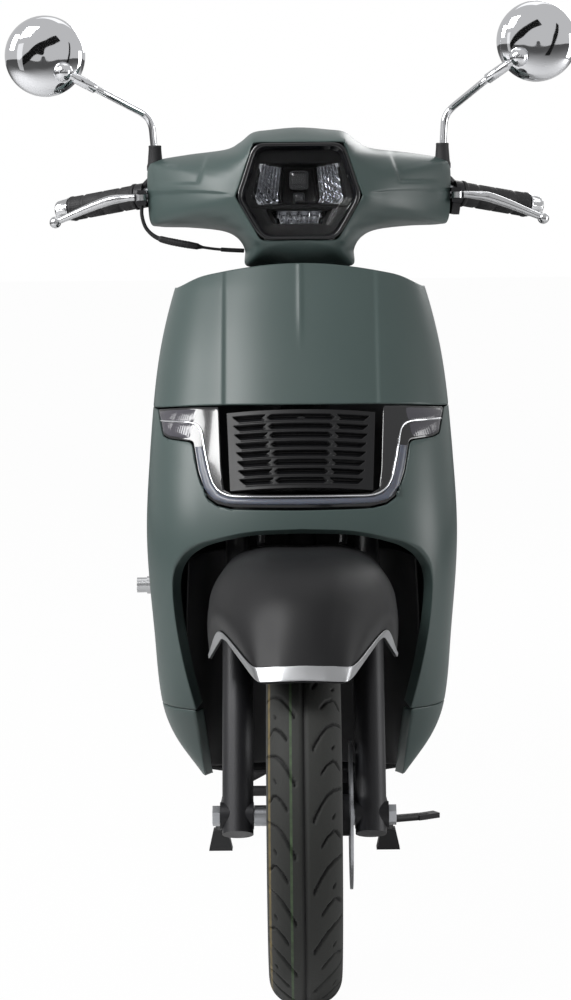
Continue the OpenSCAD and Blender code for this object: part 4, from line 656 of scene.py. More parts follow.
# %% Front cover
COVER_TOP_Z = 914
COVER_LOW_Z = 735
COVER_SHOULDER = 27
COVER_ROUND, COVER_ROUND_HALF = 15, 128
CREASE_X = 100
CREASE_BEVEL = 4
CREASE_STEP = 2.5
RIDGE_HALF = 3.2
RIDGE_HIGH = 1.6
COVER_CORNER = 9
COVER_DROOP, COVER_DROOP_HALF = 8.5, 188


def cover_grid(rows=72, columns=130):
    """Grid from the light bar up to the neck. A column keeps its share of the half width. The sides stand
    proud of the middle by the step at each crease, and a narrow ridge fades out below the top."""
    v = np.linspace(0, 1, rows)[:, None]
    share = np.sin(np.linspace(0, 1, columns) * math.pi / 2)[None, :]
    x = shield_half(COVER_LOW_Z + (COVER_TOP_Z - COVER_SHOULDER - COVER_LOW_Z) * v) * share
    low = COVER_LOW_Z - COVER_DROOP * (x / COVER_DROOP_HALF) ** 4
    rounded = COVER_CORNER * smooth_step(share, 0.72, 1.0) ** 2
    top = COVER_TOP_Z - COVER_ROUND * (x / COVER_ROUND_HALF) ** 2 - rounded
    z = low + (top - low) * v
    x = shield_half(z) * share
    y = shield_y(x, z)
    y = y + CREASE_STEP * (1 - smooth_step(x, CREASE_X - CREASE_BEVEL, CREASE_X + CREASE_BEVEL))
    y = y - RIDGE_HIGH * np.exp(-((x / RIDGE_HALF) ** 2)) * smooth_step(v, 0.33, 0.75)
    return mirrored(np.stack([x, y, z], -1))


panel("front_cover_shell", cover_grid(), WALL, "front_cover")

# %% [markdown]
# ## The apron
# The apron fills the ring between the wheel arch and the light bar. Each of its lines starts on the arch's
# turned-in lip and ends on the outer edge, so the lip, the fold and the face are one grid.

# %% Apron
ARCH_HALF = [[139, SEAM_Z], [153, 395], [163, 450], [167, 498], [164, 525], [156, 541], [146, 552],
             [130, 562], [108, 569], [80, 576], [50, 580], [0, 582]]
BAR_LOW = [[181, 692], [172, 689], [141, 687], [134, 650], [123, 620], [109, 610], [88, 606], [0, 605]]
APRON_SIDE_Z = [SEAM_Z, 440, 545, 645, 724]
APRON_TIP = [188.4, 724.4]
ARCH_EYE = np.array([0, 470])
LIP_IN = 11
LIP_TOP_SHARE = 0.25
LIP_SHARES = np.array([0, 0.25, 0.5, 0.75, 0.93])[None, :, None]
CORNER_EASE = 0.012


def apron_grid(steps=150):
    """Lines across the apron. A line's share along the arch is also its share along the outer edge."""
    t = np.linspace(0, 1, steps)
    arch = spline(ARCH_HALF, t)
    side = [[shield_half(z), z] for z in APRON_SIDE_Z]
    keys = side + [APRON_TIP] + BAR_LOW
    edge = stepped(keys, t)
    up_the_side = t * (len(keys) - 1) < len(APRON_SIDE_Z) - 1
    past_the_tip = t * (len(keys) - 1) > len(APRON_SIDE_Z) + 0.6
    edge = np.where(past_the_tip[:, None], softened(keys, t, CORNER_EASE), edge)
    edge[:, 0] = np.where(up_the_side, shield_half(edge[:, 1]), edge[:, 0])
    turn_in = 1 - (1 - LIP_TOP_SHARE) * smooth_step(t, 0.58, 0.78)[:, None]
    lip = arch + unit(ARCH_EYE - arch) * LIP_IN * (1 + turn_in) / 2
    lip_y = shield_y(arch[:, 0], arch[:, 1]) + ARCH_LIP * turn_in[:, 0]
    lip_points = np.stack([lip[:, 0], lip_y, lip[:, 1]], -1)
    fold_points = on_shield(arch[:, 0], arch[:, 1])
    beside = np.concatenate([[0.006], np.sin(np.linspace(0.03, 1, 26) * math.pi / 2)])
    above = np.concatenate([[0.006], np.linspace(0.15, 1, 26) ** 2])
    shares = beside + (above - beside) * smooth_step(t, 0.5, 0.62)[:, None]
    flat = arch[:, None] + (edge - arch)[:, None] * shares[..., None]
    face = on_shield(flat[..., 0], flat[..., 1])
    turned = lip_points[:, None] + (fold_points - lip_points)[:, None] * LIP_SHARES
    half = np.concatenate([turned, face], axis=1)
    return np.concatenate([half, half[-2::-1] * X_FLIP], axis=0)


panel("front_apron_shell", apron_grid(), WALL, "front_apron")

# %% [markdown]
# ## The lower wings
# Below the seam a wing on each side leads the leg shield down and back to the floor. The two come from a
# pair of mirrored moulds, so one is worked out and the other is its image. Each row of the grid keeps one
# height: the arch's lip, the face, then the long run back. The last row is the seam to the apron.

# %% Wings
WING_ARCH_LOW = 131
WING_ARCH_SLOPE = 0.09
WING_LIP_IN = 10
WING_END_Y = REAR_Y - 565
FLOOR_SIDE = 0.97


def wing_grid(rows=26):
    """Rows of one height each: the arch's lip, the bowed face, then a nearly straight run to the floor."""
    z = np.linspace(SKIRT_Z, SEAM_Z - 1, rows)
    half = shield_half(z)
    arch = np.minimum(half - 2, WING_ARCH_LOW + (z - SKIRT_Z) * WING_ARCH_SLOPE)
    fold = on_shield(arch, z)
    lip = np.stack([arch - WING_LIP_IN, fold[:, 1] + ARCH_LIP, z], -1)
    turned = lip[:, None] + (fold - lip)[:, None] * LIP_SHARES
    shares = np.concatenate([[0.01], np.sin(np.linspace(0.06, 1, 24) * math.pi / 2)])[None, :]
    x = arch[:, None] + (half - arch)[:, None] * shares
    face = on_shield(x, np.broadcast_to(z[:, None], x.shape))
    edge_y = profile_at(z)[:, 2:].sum(axis=1)
    back = np.linspace(0.02, 1, 24)[None, :]
    run = np.stack([half[:, None] * (1 - back * (1 - FLOOR_SIDE)),
                    edge_y[:, None] + (WING_END_Y - edge_y)[:, None] * back,
                    np.broadcast_to(z[:, None], (rows, back.size))], -1)
    return np.concatenate([turned, face, run], axis=1)


def two_sided(name, grid, thickness, node, **facts):
    """The +X panel and its mirror image as one piece."""
    points, faces = panel_arrays(np.asarray(grid, float), thickness)
    both = np.concatenate([points, points * X_FLIP])
    faces = np.concatenate([faces, faces[:, ::-1] + len(points)])
    return make_piece(name, to_frame(both), faces, node, **facts)


two_sided("lower_wing_shells", wing_grid(), WALL, "lower_wings")

# %% [markdown]
# ## The light bar
# A U of gloss black plastic lies in the gap between the cover and the apron. A pale light guide stands proud
# of it, and each tip holds a smoked indicator. All of them are bands between two outlines drawn on the leg
# shield, so a band is a grid: one parameter runs along the outlines and the other across.

# %% Light bar
HOUSING_LOW = [[187, 723.4], [180, 692.9], [172, 689.8], [139.8, 687.9], [132.8, 650.4], [121.9, 621.4],
               [108, 612.2], [88, 608.5], [0, 607.6]]
HOUSING_TOP = [[186.4, 724.4], [172, 727.2], [158, 729], [132, 731.4], [106, 731.9], [102.5, 655],
               [99, 630], [88, 624.5], [0, 624.5]]
GUIDE_LOW = [[137, 683], [132, 655], [124, 629], [112, 617], [94, 612.3], [50, 611.4], [0, 611.2]]
GUIDE_TOP = [[127, 684], [121, 658], [113.5, 637], [104, 625], [90, 620.2], [50, 619.4], [0, 619.2]]
SIGNAL_LOW = [[185.5, 718.5], [179.5, 696], [172, 692.4], [143, 690.6]]
SIGNAL_TOP = [[185.2, 721.8], [172, 725], [160, 726.6], [134, 729]]
HOUSING_BACK = 1.0
LENS_SEAT = HOUSING_BACK + 0.2
LENS_WALL = 1.0
GUIDE_PROUD = 2.6
GUIDE_EASE = 0.03


def band_flat(low, top, along, across, ease):
    """Places [x, z] between two outlines that run from the tip at share 0 to the middle at share 1."""
    a = softened(low, along, ease)
    b = softened(top, along, ease)
    return a[None] + (b - a)[None] * across[:, None, None]


def band_grid(low, top, columns, across, lift, ease=CORNER_EASE):
    """Grid of a whole band, middle to tip and mirrored, set back from the shield by each row's distance."""
    flat = band_flat(low, top, np.linspace(1, 0, columns), across, ease)
    flat[:, 0, 0] = 0
    back = np.broadcast_to(np.asarray(lift, float).reshape(-1, 1), flat.shape[:2])
    return mirrored(on_shield(flat[..., 0], flat[..., 1], back))


across_housing = np.linspace(0, 1, 14)
panel("light_bar_base", band_grid(HOUSING_LOW, HOUSING_TOP, 130, across_housing, HOUSING_BACK), WALL,
      "light_bar_housing")

across_guide = np.linspace(0, 1, 13)
guide_lift = LENS_SEAT - GUIDE_PROUD * (1 - np.abs(2 * across_guide - 1) ** 3)
guide_grid = band_grid(GUIDE_LOW, GUIDE_TOP, 120, across_guide, guide_lift, GUIDE_EASE)
panel("light_guide_strip", guide_grid, LENS_WALL, "light_bar_lens")

# %% [markdown]
# ## The indicators
# The smoked lens of an indicator is moulded with fine ribs that spread the lamp's light, and a groove splits
# it along its middle. A wave and a narrow dip in the height of the band do this at no cost, where cutting
# each rib would take a solid of its own.

# %% Indicators
SIGNAL_RIBS = 30
SIGNAL_RIB_DEPTH = 0.28
SIGNAL_SPLIT = 0.52
SIGNAL_SPLIT_DEPTH = 0.9
SIGNAL_PROUD = 2.2
SIGNAL_EASE = 0.015


def signal_grid(columns=181, rows=25):
    """Band of one indicator: its face is crowned, split by a groove along it, and finely ribbed across."""
    along = np.linspace(1, 0, columns)
    across = np.linspace(0, 1, rows)
    flat = band_flat(SIGNAL_LOW, SIGNAL_TOP, along, across, SIGNAL_EASE)
    crown = (1 - np.abs(2 * across - 1) ** 4)[:, None] * (1 - np.abs(2 * along - 1) ** 10)[None, :]
    ribs = SIGNAL_RIB_DEPTH * np.abs(np.sin(math.pi * SIGNAL_RIBS * along))[None, :]
    groove = SIGNAL_SPLIT_DEPTH * np.exp(-(((across - SIGNAL_SPLIT) / 0.06) ** 2))[:, None]
    lift = LENS_SEAT - SIGNAL_PROUD * crown * (1 - 0.18 * ribs) + ribs * 0.4 + groove
    return on_shield(flat[..., 0], flat[..., 1], lift)


two_sided("indicator_lenses", signal_grid(), LENS_WALL, "light_bar_lens", finish="smoked_lens")

# %% [markdown]
# ## Rods, rings and caps
# Bars, stems, cables and rings are profiles carried along a path. `loft` joins a stack of closed rings and
# shuts both ends with a fan of triangles. `sweep` puts circles across a path, and `spin` turns a profile
# about a line.

# %% Loft tools
def loft(name, rings, node, **facts):
    """Closed piece through rings of equal size; each end is a fan about the middle of its ring."""
    points, faces = loft_arrays(rings)
    return make_piece(name, to_frame(points), faces, node, **facts)


def loft_arrays(rings):
    """Points and faces of a loft whose rings run anticlockwise as seen from its far end."""
    rings = np.asarray(rings, float)
    rows, columns = rings.shape[:2]
    points = np.concatenate([rings.reshape(-1, 3), rings[:1].mean(1), rings[-1:].mean(1)])
    sides = grid_faces(rows, columns, True)
    ring = np.arange(columns)
    after = np.roll(ring, -1)
    start = np.full(columns, rows * columns)
    last = (rows - 1) * columns
    first_fan = np.stack([start, after, ring], -1)
    last_fan = np.stack([start + 1, ring + last, after + last], -1)
    return points, [*sides.tolist(), *first_fan.tolist(), *last_fan.tolist()]


def crossing(path, hint):
    """Two unit directions across a path: one square to the path and the hint, one square to both."""
    run = unit(np.gradient(np.asarray(path, float), axis=0))
    side = unit(np.cross(run, hint))
    return side, np.cross(run, side)


def full_turn(count):
    """Evenly spaced angles once round a circle."""
    return np.linspace(0, 2 * math.pi, count, endpoint=False)


def circle(turn):
    """Places on a circle of radius 1 at the angles."""
    return np.stack([np.cos(turn), np.sin(turn)], -1)


def sweep(path, radius, hint, sides=24):
    """Circles of the given radius across a path."""
    side, over = crossing(path, hint)
    turn = full_turn(sides)
    radius = np.broadcast_to(np.asarray(radius, float), len(path))[:, None, None]
    ring = np.cos(turn)[None, :, None] * side[:, None] + np.sin(turn)[None, :, None] * over[:, None]
    return np.asarray(path, float)[:, None] + radius * ring


def spin(profile, start, direction, sides=64):
    """Rings of a profile of [distance along, radius] turned about a line from start along a direction."""
    profile = np.asarray(profile, float)
    direction = unit(np.asarray(direction, float))
    hint = (0, 0, 1) if abs(direction[2]) < 0.8 else (0, 1, 0)
    side = unit(np.cross(direction, hint))
    over = np.cross(direction, side)
    turn = full_turn(sides)
    ring = np.cos(turn)[:, None] * side + np.sin(turn)[:, None] * over
    along = np.asarray(start, float) + profile[:, :1] * direction
    return along[:, None] + profile[:, 1][:, None, None] * ring[None]


def several(name, arrays, node, **facts):
    """One piece made of several point and face arrays."""
    points, faces, start = [], [], 0
    for some_points, some_faces in arrays:
        points.append(some_points)
        faces.extend([[corner + start for corner in face] for face in some_faces])
        start += len(some_points)
    return make_piece(name, to_frame(np.concatenate(points)), faces, node, **facts)


def mirror_arrays(arrays):
    """Point and face arrays with their mirror images; the images' faces are turned round."""
    other = [(points * X_FLIP, [list(face)[::-1] for face in faces]) for points, faces in arrays]
    return list(arrays) + other


BALL_POLE = 0.05


def ball_profile(radius):
    """Half circle of [distance along, radius] that spins into a ball, short of its poles."""
    turn = np.linspace(math.pi - BALL_POLE, BALL_POLE, 24)
    return circle(turn) * radius


# %% [markdown]
# ## The chrome line
# A thin bright bead runs from one indicator through the U of the light bar to the other. On the scooter it
# is a plated strip pressed into a slot. Here it is a sweep along a line on the leg shield, set just proud of
# it.

# %% Chrome line
LINE_R = 1.1
LINE_PROUD = 0.9
CHROME_LINE = [[183.5, 710.5], [160, 711.5], [139, 710.5], [129.5, 703], [125.5, 686], [121, 664],
               [115, 642], [106, 629], [90, 622.5], [60, 622], [0, 622]]
line_half = spline(CHROME_LINE, np.linspace(0, 1, 110))
line_flat = np.concatenate([line_half, line_half[-2::-1] * (-1, 1)])
line_path = on_shield(line_flat[:, 0], line_flat[:, 1], -LINE_PROUD)
loft("light_bar_chrome_line", sweep(line_path, LINE_R, (0, 1, 0), 10), "light_bar_lens", finish="chrome")

# %% [markdown]
# ## The grille
# Eight rows of three louvres are pressed into a bowed plate. Here the plate is one grid, and every louvre is
# a slanted hollow in it: deep under its upper edge, and level with the plate at its lower edge.

# %% Grille
GRILLE_TOP_HALF, GRILLE_TOP_Z = 96, 729.5
GRILLE_LOW_HALF, GRILLE_LOW_Z = 91.5, 632.5
GRILLE_BOW = 399
GRILLE_BORDER = 4.5
LOUVRE_ROWS = 8
LOUVRE_HIGH = 7.8
LOUVRE_DEEP = 9.0
SLOT_LEAN = 5
BAR_BETWEEN = 2.6
# Half width of the middle slot and end of the side slots in the lowest row, and how much each grows upwards
MIDDLE_SLOT, MIDDLE_SLOT_GROWS = 27, 12
SIDE_SLOT, SIDE_SLOT_GROWS, SIDE_SLOT_SLANT = 78, 10, 4


def grille_grid(rows=162, columns=289):
    """Plate of height 2 x rise on a cylinder of the bow radius. A point inside a louvre's six-sided outline
    is pushed back, most near the louvre's upper edge."""
    middle_z = (GRILLE_TOP_Z + GRILLE_LOW_Z) / 2
    middle_y = float(shield_y(0, middle_z)) + 1
    height = GRILLE_TOP_Z - GRILLE_LOW_Z
    lean = math.atan(float(shield_y(0, GRILLE_TOP_Z) - shield_y(0, GRILLE_LOW_Z)) / height)
    rise = height / 2 / math.cos(lean)
    h = np.linspace(-rise, rise, rows)[:, None]
    f = (h + rise) / (2 * rise)
    half = GRILLE_LOW_HALF + (GRILLE_TOP_HALF - GRILLE_LOW_HALF) * f
    x = half * np.linspace(-1, 1, columns)[None, :]
    pitch = 2 * (rise - GRILLE_BORDER) / LOUVRE_ROWS
    row = np.clip(np.floor((h + rise - GRILLE_BORDER) / pitch), 0, LOUVRE_ROWS - 1)
    row_f = (row + 0.5) / LOUVRE_ROWS
    v = (h - (2 * row_f - 1) * (rise - GRILLE_BORDER)) / (LOUVRE_HIGH / 2)
    inner = MIDDLE_SLOT + MIDDLE_SLOT_GROWS * row_f
    outer = SIDE_SLOT + SIDE_SLOT_GROWS * row_f - SIDE_SLOT_SLANT * (1 - np.clip(v, -1, 1))
    point = SLOT_LEAN * (1 - np.minimum(1, np.abs(v)))
    to_middle_slot = inner + point - np.abs(x)
    to_side_slot = np.minimum(np.abs(x) - (inner + BAR_BETWEEN + SLOT_LEAN + point), outer - np.abs(x))
    within = smooth_step(np.maximum(to_middle_slot, to_side_slot), -0.5, 0.5)
    within = within * (1 - smooth_step(np.abs(v), 0.86, 1.1))
    hollow = within * LOUVRE_DEEP * (0.55 + 0.45 * np.clip(v, -1, 1))
    lip = 0.5 * np.exp(-(((v + 1.25) / 0.22) ** 2)) * smooth_step(outer + 2 - np.abs(x), 0, 2)
    front = np.sqrt(GRILLE_BOW**2 - x**2) - GRILLE_BOW
    base = np.stack([x, middle_y + h * math.sin(lean) - front * math.cos(lean) + 0 * x,
                     middle_z + h * math.cos(lean) + front * math.sin(lean) + 0 * x], -1)
    push = np.array([0, math.cos(lean), -math.sin(lean)])
    return base + (hollow - lip)[..., None] * push, base


grille_outer, grille_base = grille_grid()
panel("front_grille_plate", grille_outer, LOUVRE_DEEP + 2, "front_grille", base=grille_base,
      finish="grille_black")

# %% [markdown]
# ## The headlight
# A six-sided black bezel holds a clear lens. Behind it, a fluted chrome bowl carries a square projector, and
# a strip of chrome cells lies underneath. Everything is drawn on the headlight's own leaning plane: x
# across, y up the plane, and a depth out of it.

# %% Headlight tools
HEAD_Y = 285
HEAD_Z = 1001.5
HEAD_LEAN = math.radians(8)
# Right half of the bezel's outline, from the top round to the bottom
HEAD_HALF = np.array([[0, 71], [30, 71], [57, 71], [62, 66], [66, 53.5], [71, 38], [75, 25.5], [79, 13],
                      [83.5, 2], [83, -3], [75, -17], [68, -29.5], [60, -43], [53, -55], [46, -59], [30, -59],
                      [15, -59], [0, -59]], float)


def on_head(flat, depth):
    """Drawing points of places on the leaning plane, moved out of it by a depth."""
    flat = np.asarray(flat, float)
    depth = np.broadcast_to(np.asarray(depth, float), flat.shape[:-1])
    up = flat[..., 1]
    return np.stack([flat[..., 0], HEAD_Y + up * math.sin(HEAD_LEAN) - depth * math.cos(HEAD_LEAN),
                     HEAD_Z + up * math.cos(HEAD_LEAN) + depth * math.sin(HEAD_LEAN)], -1)


def whole_outline(half):
    """Right half of an outline, from the top to the bottom, as a whole ring that runs anticlockwise."""
    half = np.asarray(half, float)
    ring = np.concatenate([half, half[-2:0:-1] * (-1, 1)])
    return np.roll(ring[::-1], 1, axis=0)


def even_places(keys, count, last=True):
    """Evenly spaced places along the straight runs between keys, with the last key or short of it."""
    length = np.concatenate([[0], np.cumsum(np.linalg.norm(np.diff(keys, axis=0), axis=1))])
    at = np.linspace(0, length[-1], count, endpoint=last)
    return np.stack([np.interp(at, length, keys[:, k]) for k in range(keys.shape[1])], -1)


def even_ring(corners, count, ease):
    """Evenly spaced places on a closed outline, each the mean of its neighbours, so that corners round."""
    ring = even_places(np.concatenate([corners, corners[:1]]), count, False)
    return np.mean([np.roll(ring, k, axis=0) for k in range(-ease, ease + 1)], axis=0)


def reach(corners, centre, turn):
    """How far a ray from the centre runs before it meets a side of a convex anticlockwise outline."""
    corners = np.asarray(corners, float) - centre
    edge = np.roll(corners, -1, 0) - corners
    outward = np.stack([edge[:, 1], -edge[:, 0]], -1)
    facing = circle(turn) @ outward.T
    far = np.where(facing > 1e-9, (corners * outward).sum(1) / np.maximum(facing, 1e-9), np.inf)
    return far.min(1)


def hoop_arrays(rings):
    """Points and faces of rings whose last ring joins the first again, as in a hoop."""
    rings = np.asarray(rings, float)
    rows, columns = rings.shape[:2]
    return rings.reshape(-1, 3), grid_faces(rows + 1, columns, True) % (rows * columns)


def hoop(name, rings, node, **facts):
    """Piece made of a hoop of rings."""
    points, faces = hoop_arrays(rings)
    return make_piece(name, to_frame(points), faces, node, **facts)


head_ring = even_ring(whole_outline(HEAD_HALF), 320, 7)
print("headlight outline:", len(head_ring), "places")

# %% [markdown]
# ## Bezel and lens
# The bezel is a frame of black plastic, stepped down towards the clear lens that sits in it. Both follow the
# same six-sided outline. So each is a profile of [share of the outline, depth], carried round it: the bezel
# as a hoop, the lens as a closed loft with a slight bulge.

# %% Bezel and lens
BEZEL_PROFILE = [[0.99, -16], [0.99, -0.6], [0.987, 0.8], [0.98, 1.6], [0.968, 2], [0.935, 2], [0.925, 1.6],
                 [0.918, 0.6], [0.912, -0.4], [0.868, -5.4], [0.862, -6.6], [0.86, -9], [0.86, -16]]
LENS_PROFILE = [[0.2, -6], [0.6, -6], [0.852, -6], [0.852, -3.4], [0.848, -2.9], [0.84, -2.6], [0.7, -2.2],
                [0.5, -1.8], [0.3, -1.6], [0.12, -1.5]]


def head_rings(profile):
    """The headlight's outline, shrunk and set at a depth for each row of a profile."""
    return [on_head(head_ring * share, depth) for share, depth in profile]


hoop("headlight_bezel_ring", head_rings(BEZEL_PROFILE), "headlight_bezel", sharp=40)
loft("headlight_clear_lens", head_rings(LENS_PROFILE), "headlight_lens")

# %% [markdown]
# ## The reflector
# Behind the lens a mask has two openings, and in them lie chromed bowls. Flutes and facets break up the
# light of the upper one, and the lower one is a row of square cells. The mask and the upper bowl's middle
# are painted near black and the bowls' chrome is dimmed, as painted shade inside the lamp. The relief is a
# sum of saw-tooth waves in the depth, because a lamp maker mills such facets in even rows too.

# %% Reflector
OPENING_SHARE = 0.89
# Heights up the two bowls, and the half width at each
LAMP_HEIGHTS, LAMP_HALVES = [-10, 0, 46], [54, 62, 52]
LOW_HEIGHTS, LOW_HALVES = [-36, -15], [35, 45]
LAMP_EYE, LAMP_BACK = np.array([0, 18]), -34
LOW_EYE, LOW_BACK = np.array([0, -25]), -28
MASK_SPLIT = -12.5
MASK_DEPTH = -16.4


def bowl_outline(heights, halves):
    """Outline of a bowl, down its left side and up its right one."""
    right = np.stack([halves, heights], -1)
    return np.concatenate([right[::-1] * (-1, 1), right])


def mask_grid(bowl, eye, upper, deep, columns=240):
    """Ring grid from deep in a bowl, up its wall and over the face, to the lens opening or the split."""
    turn = full_turn(columns)
    heading = circle(turn)
    hole = reach(bowl, eye, turn)
    rim = reach(whole_outline(HEAD_HALF) * OPENING_SHARE, eye, turn)
    towards = heading[:, 1] * (-1 if upper else 1)
    to_split = np.where(towards > 1e-6, abs(MASK_SPLIT - eye[1]) / np.maximum(towards, 1e-6), np.inf)
    rim = np.minimum(rim, to_split)
    rows = [(hole * 0.86, deep), (hole * 0.97, MASK_DEPTH - 3), (hole, MASK_DEPTH - 0.8),
            (hole + 0.8, MASK_DEPTH), (np.maximum(rim, hole + 1), MASK_DEPTH)]
    return np.stack([on_head(eye + heading * far[:, None], depth) for far, depth in rows])


FLUTES, FLUTE_DEPTH = 13, 4.5
FACETS, FACET_DEPTH, FACET_LEAN = 5, 2.0, 0.35
# Share of the half width where the bowl's chrome starts, and where its middle, painted near black as shade,
# ends
CHROME_FROM, MIDDLE_TO = 0.46, 0.455


def bowl_places(heights, halves, across, rows):
    """Places [x, y] over a bowl's back at shares of its half width, and each row's share of the way up."""
    up = np.linspace(0, 1, rows)[:, None]
    y = heights[0] + (heights[-1] - heights[0]) * up
    x = np.interp(y, heights, halves) * across
    return np.stack([x, y + 0 * x], -1), up


def saw(value):
    """Wave of straight slopes that falls from 1 to 0 and rises again over each whole number."""
    return np.abs(value % 1.0 * 2 - 1)


def bowl_grid(first, last, rows=60, columns=121):
    """Back of the lamp bowl between two shares of its half width: deepest in the middle, with upright flutes
    and slanted facets towards the sides."""
    u = np.linspace(first, last, columns)[None, :]
    flat, up = bowl_places(LAMP_HEIGHTS, LAMP_HALVES, u, rows)
    flute = FLUTE_DEPTH * saw(u * FLUTES)
    facet = FACET_DEPTH * saw(up * FACETS + FACET_LEAN * u * FLUTES)
    relief = (flute + facet) * smooth_step(np.abs(u), 0.3, 0.45)
    depth = -42 + 20 * np.abs(u) ** 1.6 + 6 * (2 * up - 1) ** 2 + relief
    return on_head(flat, np.minimum(depth, MASK_DEPTH - 1))


CELLS = 6


def cell_grid(rows=40, columns=241):
    """Back of the low bowl: a row of square cells, each a shallow four-sided hollow."""
    u = np.linspace(-1, 1, columns)[None, :]
    flat, up = bowl_places(LOW_HEIGHTS, LOW_HALVES, u, rows)
    depth = -32 + 11 * np.maximum(saw((u + 1) / 2 * CELLS), np.abs(2 * up - 1)) ** 2
    return on_head(flat, depth)


masks = [mask_grid(bowl_outline(LAMP_HEIGHTS, LAMP_HALVES), LAMP_EYE, True, LAMP_BACK),
         mask_grid(bowl_outline(LOW_HEIGHTS, LOW_HALVES), LOW_EYE, False, LOW_BACK)]
# Painted shade: the mask is painted near black for the shade inside the lamp
several("headlight_mask", [panel_arrays(grid, LENS_WALL, True) for grid in masks], "headlight_reflector",
        finish="painted_shade_black")
bowls = [bowl_grid(-1, -CHROME_FROM), bowl_grid(CHROME_FROM, 1), cell_grid()]
# Painted shade: the bowls' chrome is dimmed for the shade inside the lamp
several("headlight_bowls", [panel_arrays(grid, LENS_WALL) for grid in bowls], "headlight_reflector",
        finish="shade_dimmed_chrome", sharp=20)
# Painted shade: the bowl's middle is painted near black for the shade deep in the lamp
panel("headlight_middle", bowl_grid(-MIDDLE_TO, MIDDLE_TO), LENS_WALL, "headlight_reflector",
      finish="painted_shade_black")

# %% [markdown]
# ## The projectors
# The lamp's light leaves through a square projector in the upper bowl and a smaller one under it. Each is a
# barrel with a raised rim and a bulging lens, so it is a loft of rounded squares that shrink towards the
# middle.

# %% Projectors
# Half width, middle and depth of the face of each projector
PROJECTORS = [(13, (0, 24), -24), (8, (0, 0), -27)]


def squared(value, power):
    """Power of a value's size, with its sign kept. It pushes a circle out towards a square."""
    return np.sign(value) * np.abs(value) ** power


def square_ring(half, middle, count=64, squareness=0.35):
    """Rounded square about a middle: each side follows a squared circle."""
    return half * squared(circle(full_turn(count)), squareness) + middle


def projector_rings(half, middle, face):
    """Square barrel with a raised rim and a bulging lens inside it."""
    steps = [(1.0, face - 18), (1.0, face - 0.8), (0.95, face), (0.86, face), (0.82, face - 1.5),
             (0.7, face - 0.6), (0.4, face + 0.6), (0.1, face + 0.9)]
    return [on_head(square_ring(half * share, middle), depth) for share, depth in steps]


several("headlight_projectors", [loft_arrays(projector_rings(*facts)) for facts in PROJECTORS],
        "headlight_reflector", finish="gloss_black", sharp=40)

# %% [markdown]
# ## Handlebar cover
# The front shell reaches from the bezel out to a parting line, falling away in depth along a squared curve.
# Its grid goes round the headlight in closed loops, so that it meets the bezel evenly. A crease and a recess
# by each mirror's foot are pushed into it.

# %% Handlebar cover
COVER_HALF = 206
NECK_HALF = 71.5
NECK_Z = 908
COVER_OUTLINE = np.array([
    [0, 372, 1093], [40, 373, 1090], [62, 375, 1086.5], [79, 380, 1074], [99, 386, 1064.5],
    [150, 402, 1058.5], [COVER_HALF - 9, 416, 1050.5], [COVER_HALF, 412, 1040], [COVER_HALF, 404, 1000],
    [COVER_HALF - 3, 408, 967], [COVER_HALF - 16, 414, 961], [149, 405, 959.5], [106, 392, 955],
    [85, 382, 946], [NECK_HALF + 2.5, 374, 930], [NECK_HALF, 366, NECK_Z], [NECK_HALF / 2, 318, NECK_Z],
    [0, 303, NECK_Z]], float)
# Power of the fall in depth towards each key of the outline
COVER_FALL = np.array([1.6, 1.6, 1.6, 1.5, 1.4, 1.3, 1.25, 1.25, 1.25, 1.25, 1.25, 1.3, 1.5, 1.8, 2, 2, 1.5,
                       1.2])
BAR_CREASE_Z = 1005
BAR_CREASE = 2.4
BAR_CREASE_X = (90, 205)
BAR_CREASE_BOW = 3
BAR_CREASE_FADE = 30
PAD_INNER, PAD_OUTER = 121, 194
PAD_LOW_Z, PAD_HIGH_Z = 1019, 1054
PAD_DEPTH = 7.5
PAD_SLANT = 0.3
PAD_WALL = 6


def round_loop(half, count):
    """Smooth closed loop through a half outline's keys and their mirror images, from the top leftwards."""
    flip = np.ones(half.shape[1])
    flip[0] = -1 if half.shape[1] > 1 else 1
    keys = np.concatenate([half, half[-2:0:-1] * flip])[::-1]
    keys = np.roll(keys, 1, axis=0)
    size = len(keys)
    at = np.linspace(0, size, count, endpoint=False)
    first = at.astype(int)
    f = (at - first)[:, None]
    return cubic(*(keys[(first + k) % size] for k in (-1, 0, 1, 2)), f)


def mirror_pad(x, z):
    """Depth of the recess inside each mirror's foot: a slanted wall at its inner end, then a floor that rises
    to nothing at the outer end."""
    inner = PAD_INNER + PAD_SLANT * (PAD_HIGH_Z - z)
    wall = smooth_step(x, inner, inner + PAD_WALL)
    floor = np.clip((PAD_OUTER - x) / (PAD_OUTER - PAD_INNER), 0, 1) ** 0.7
    return PAD_DEPTH * wall * floor * smooth_step(z, PAD_LOW_Z - 2, PAD_LOW_Z + 2)


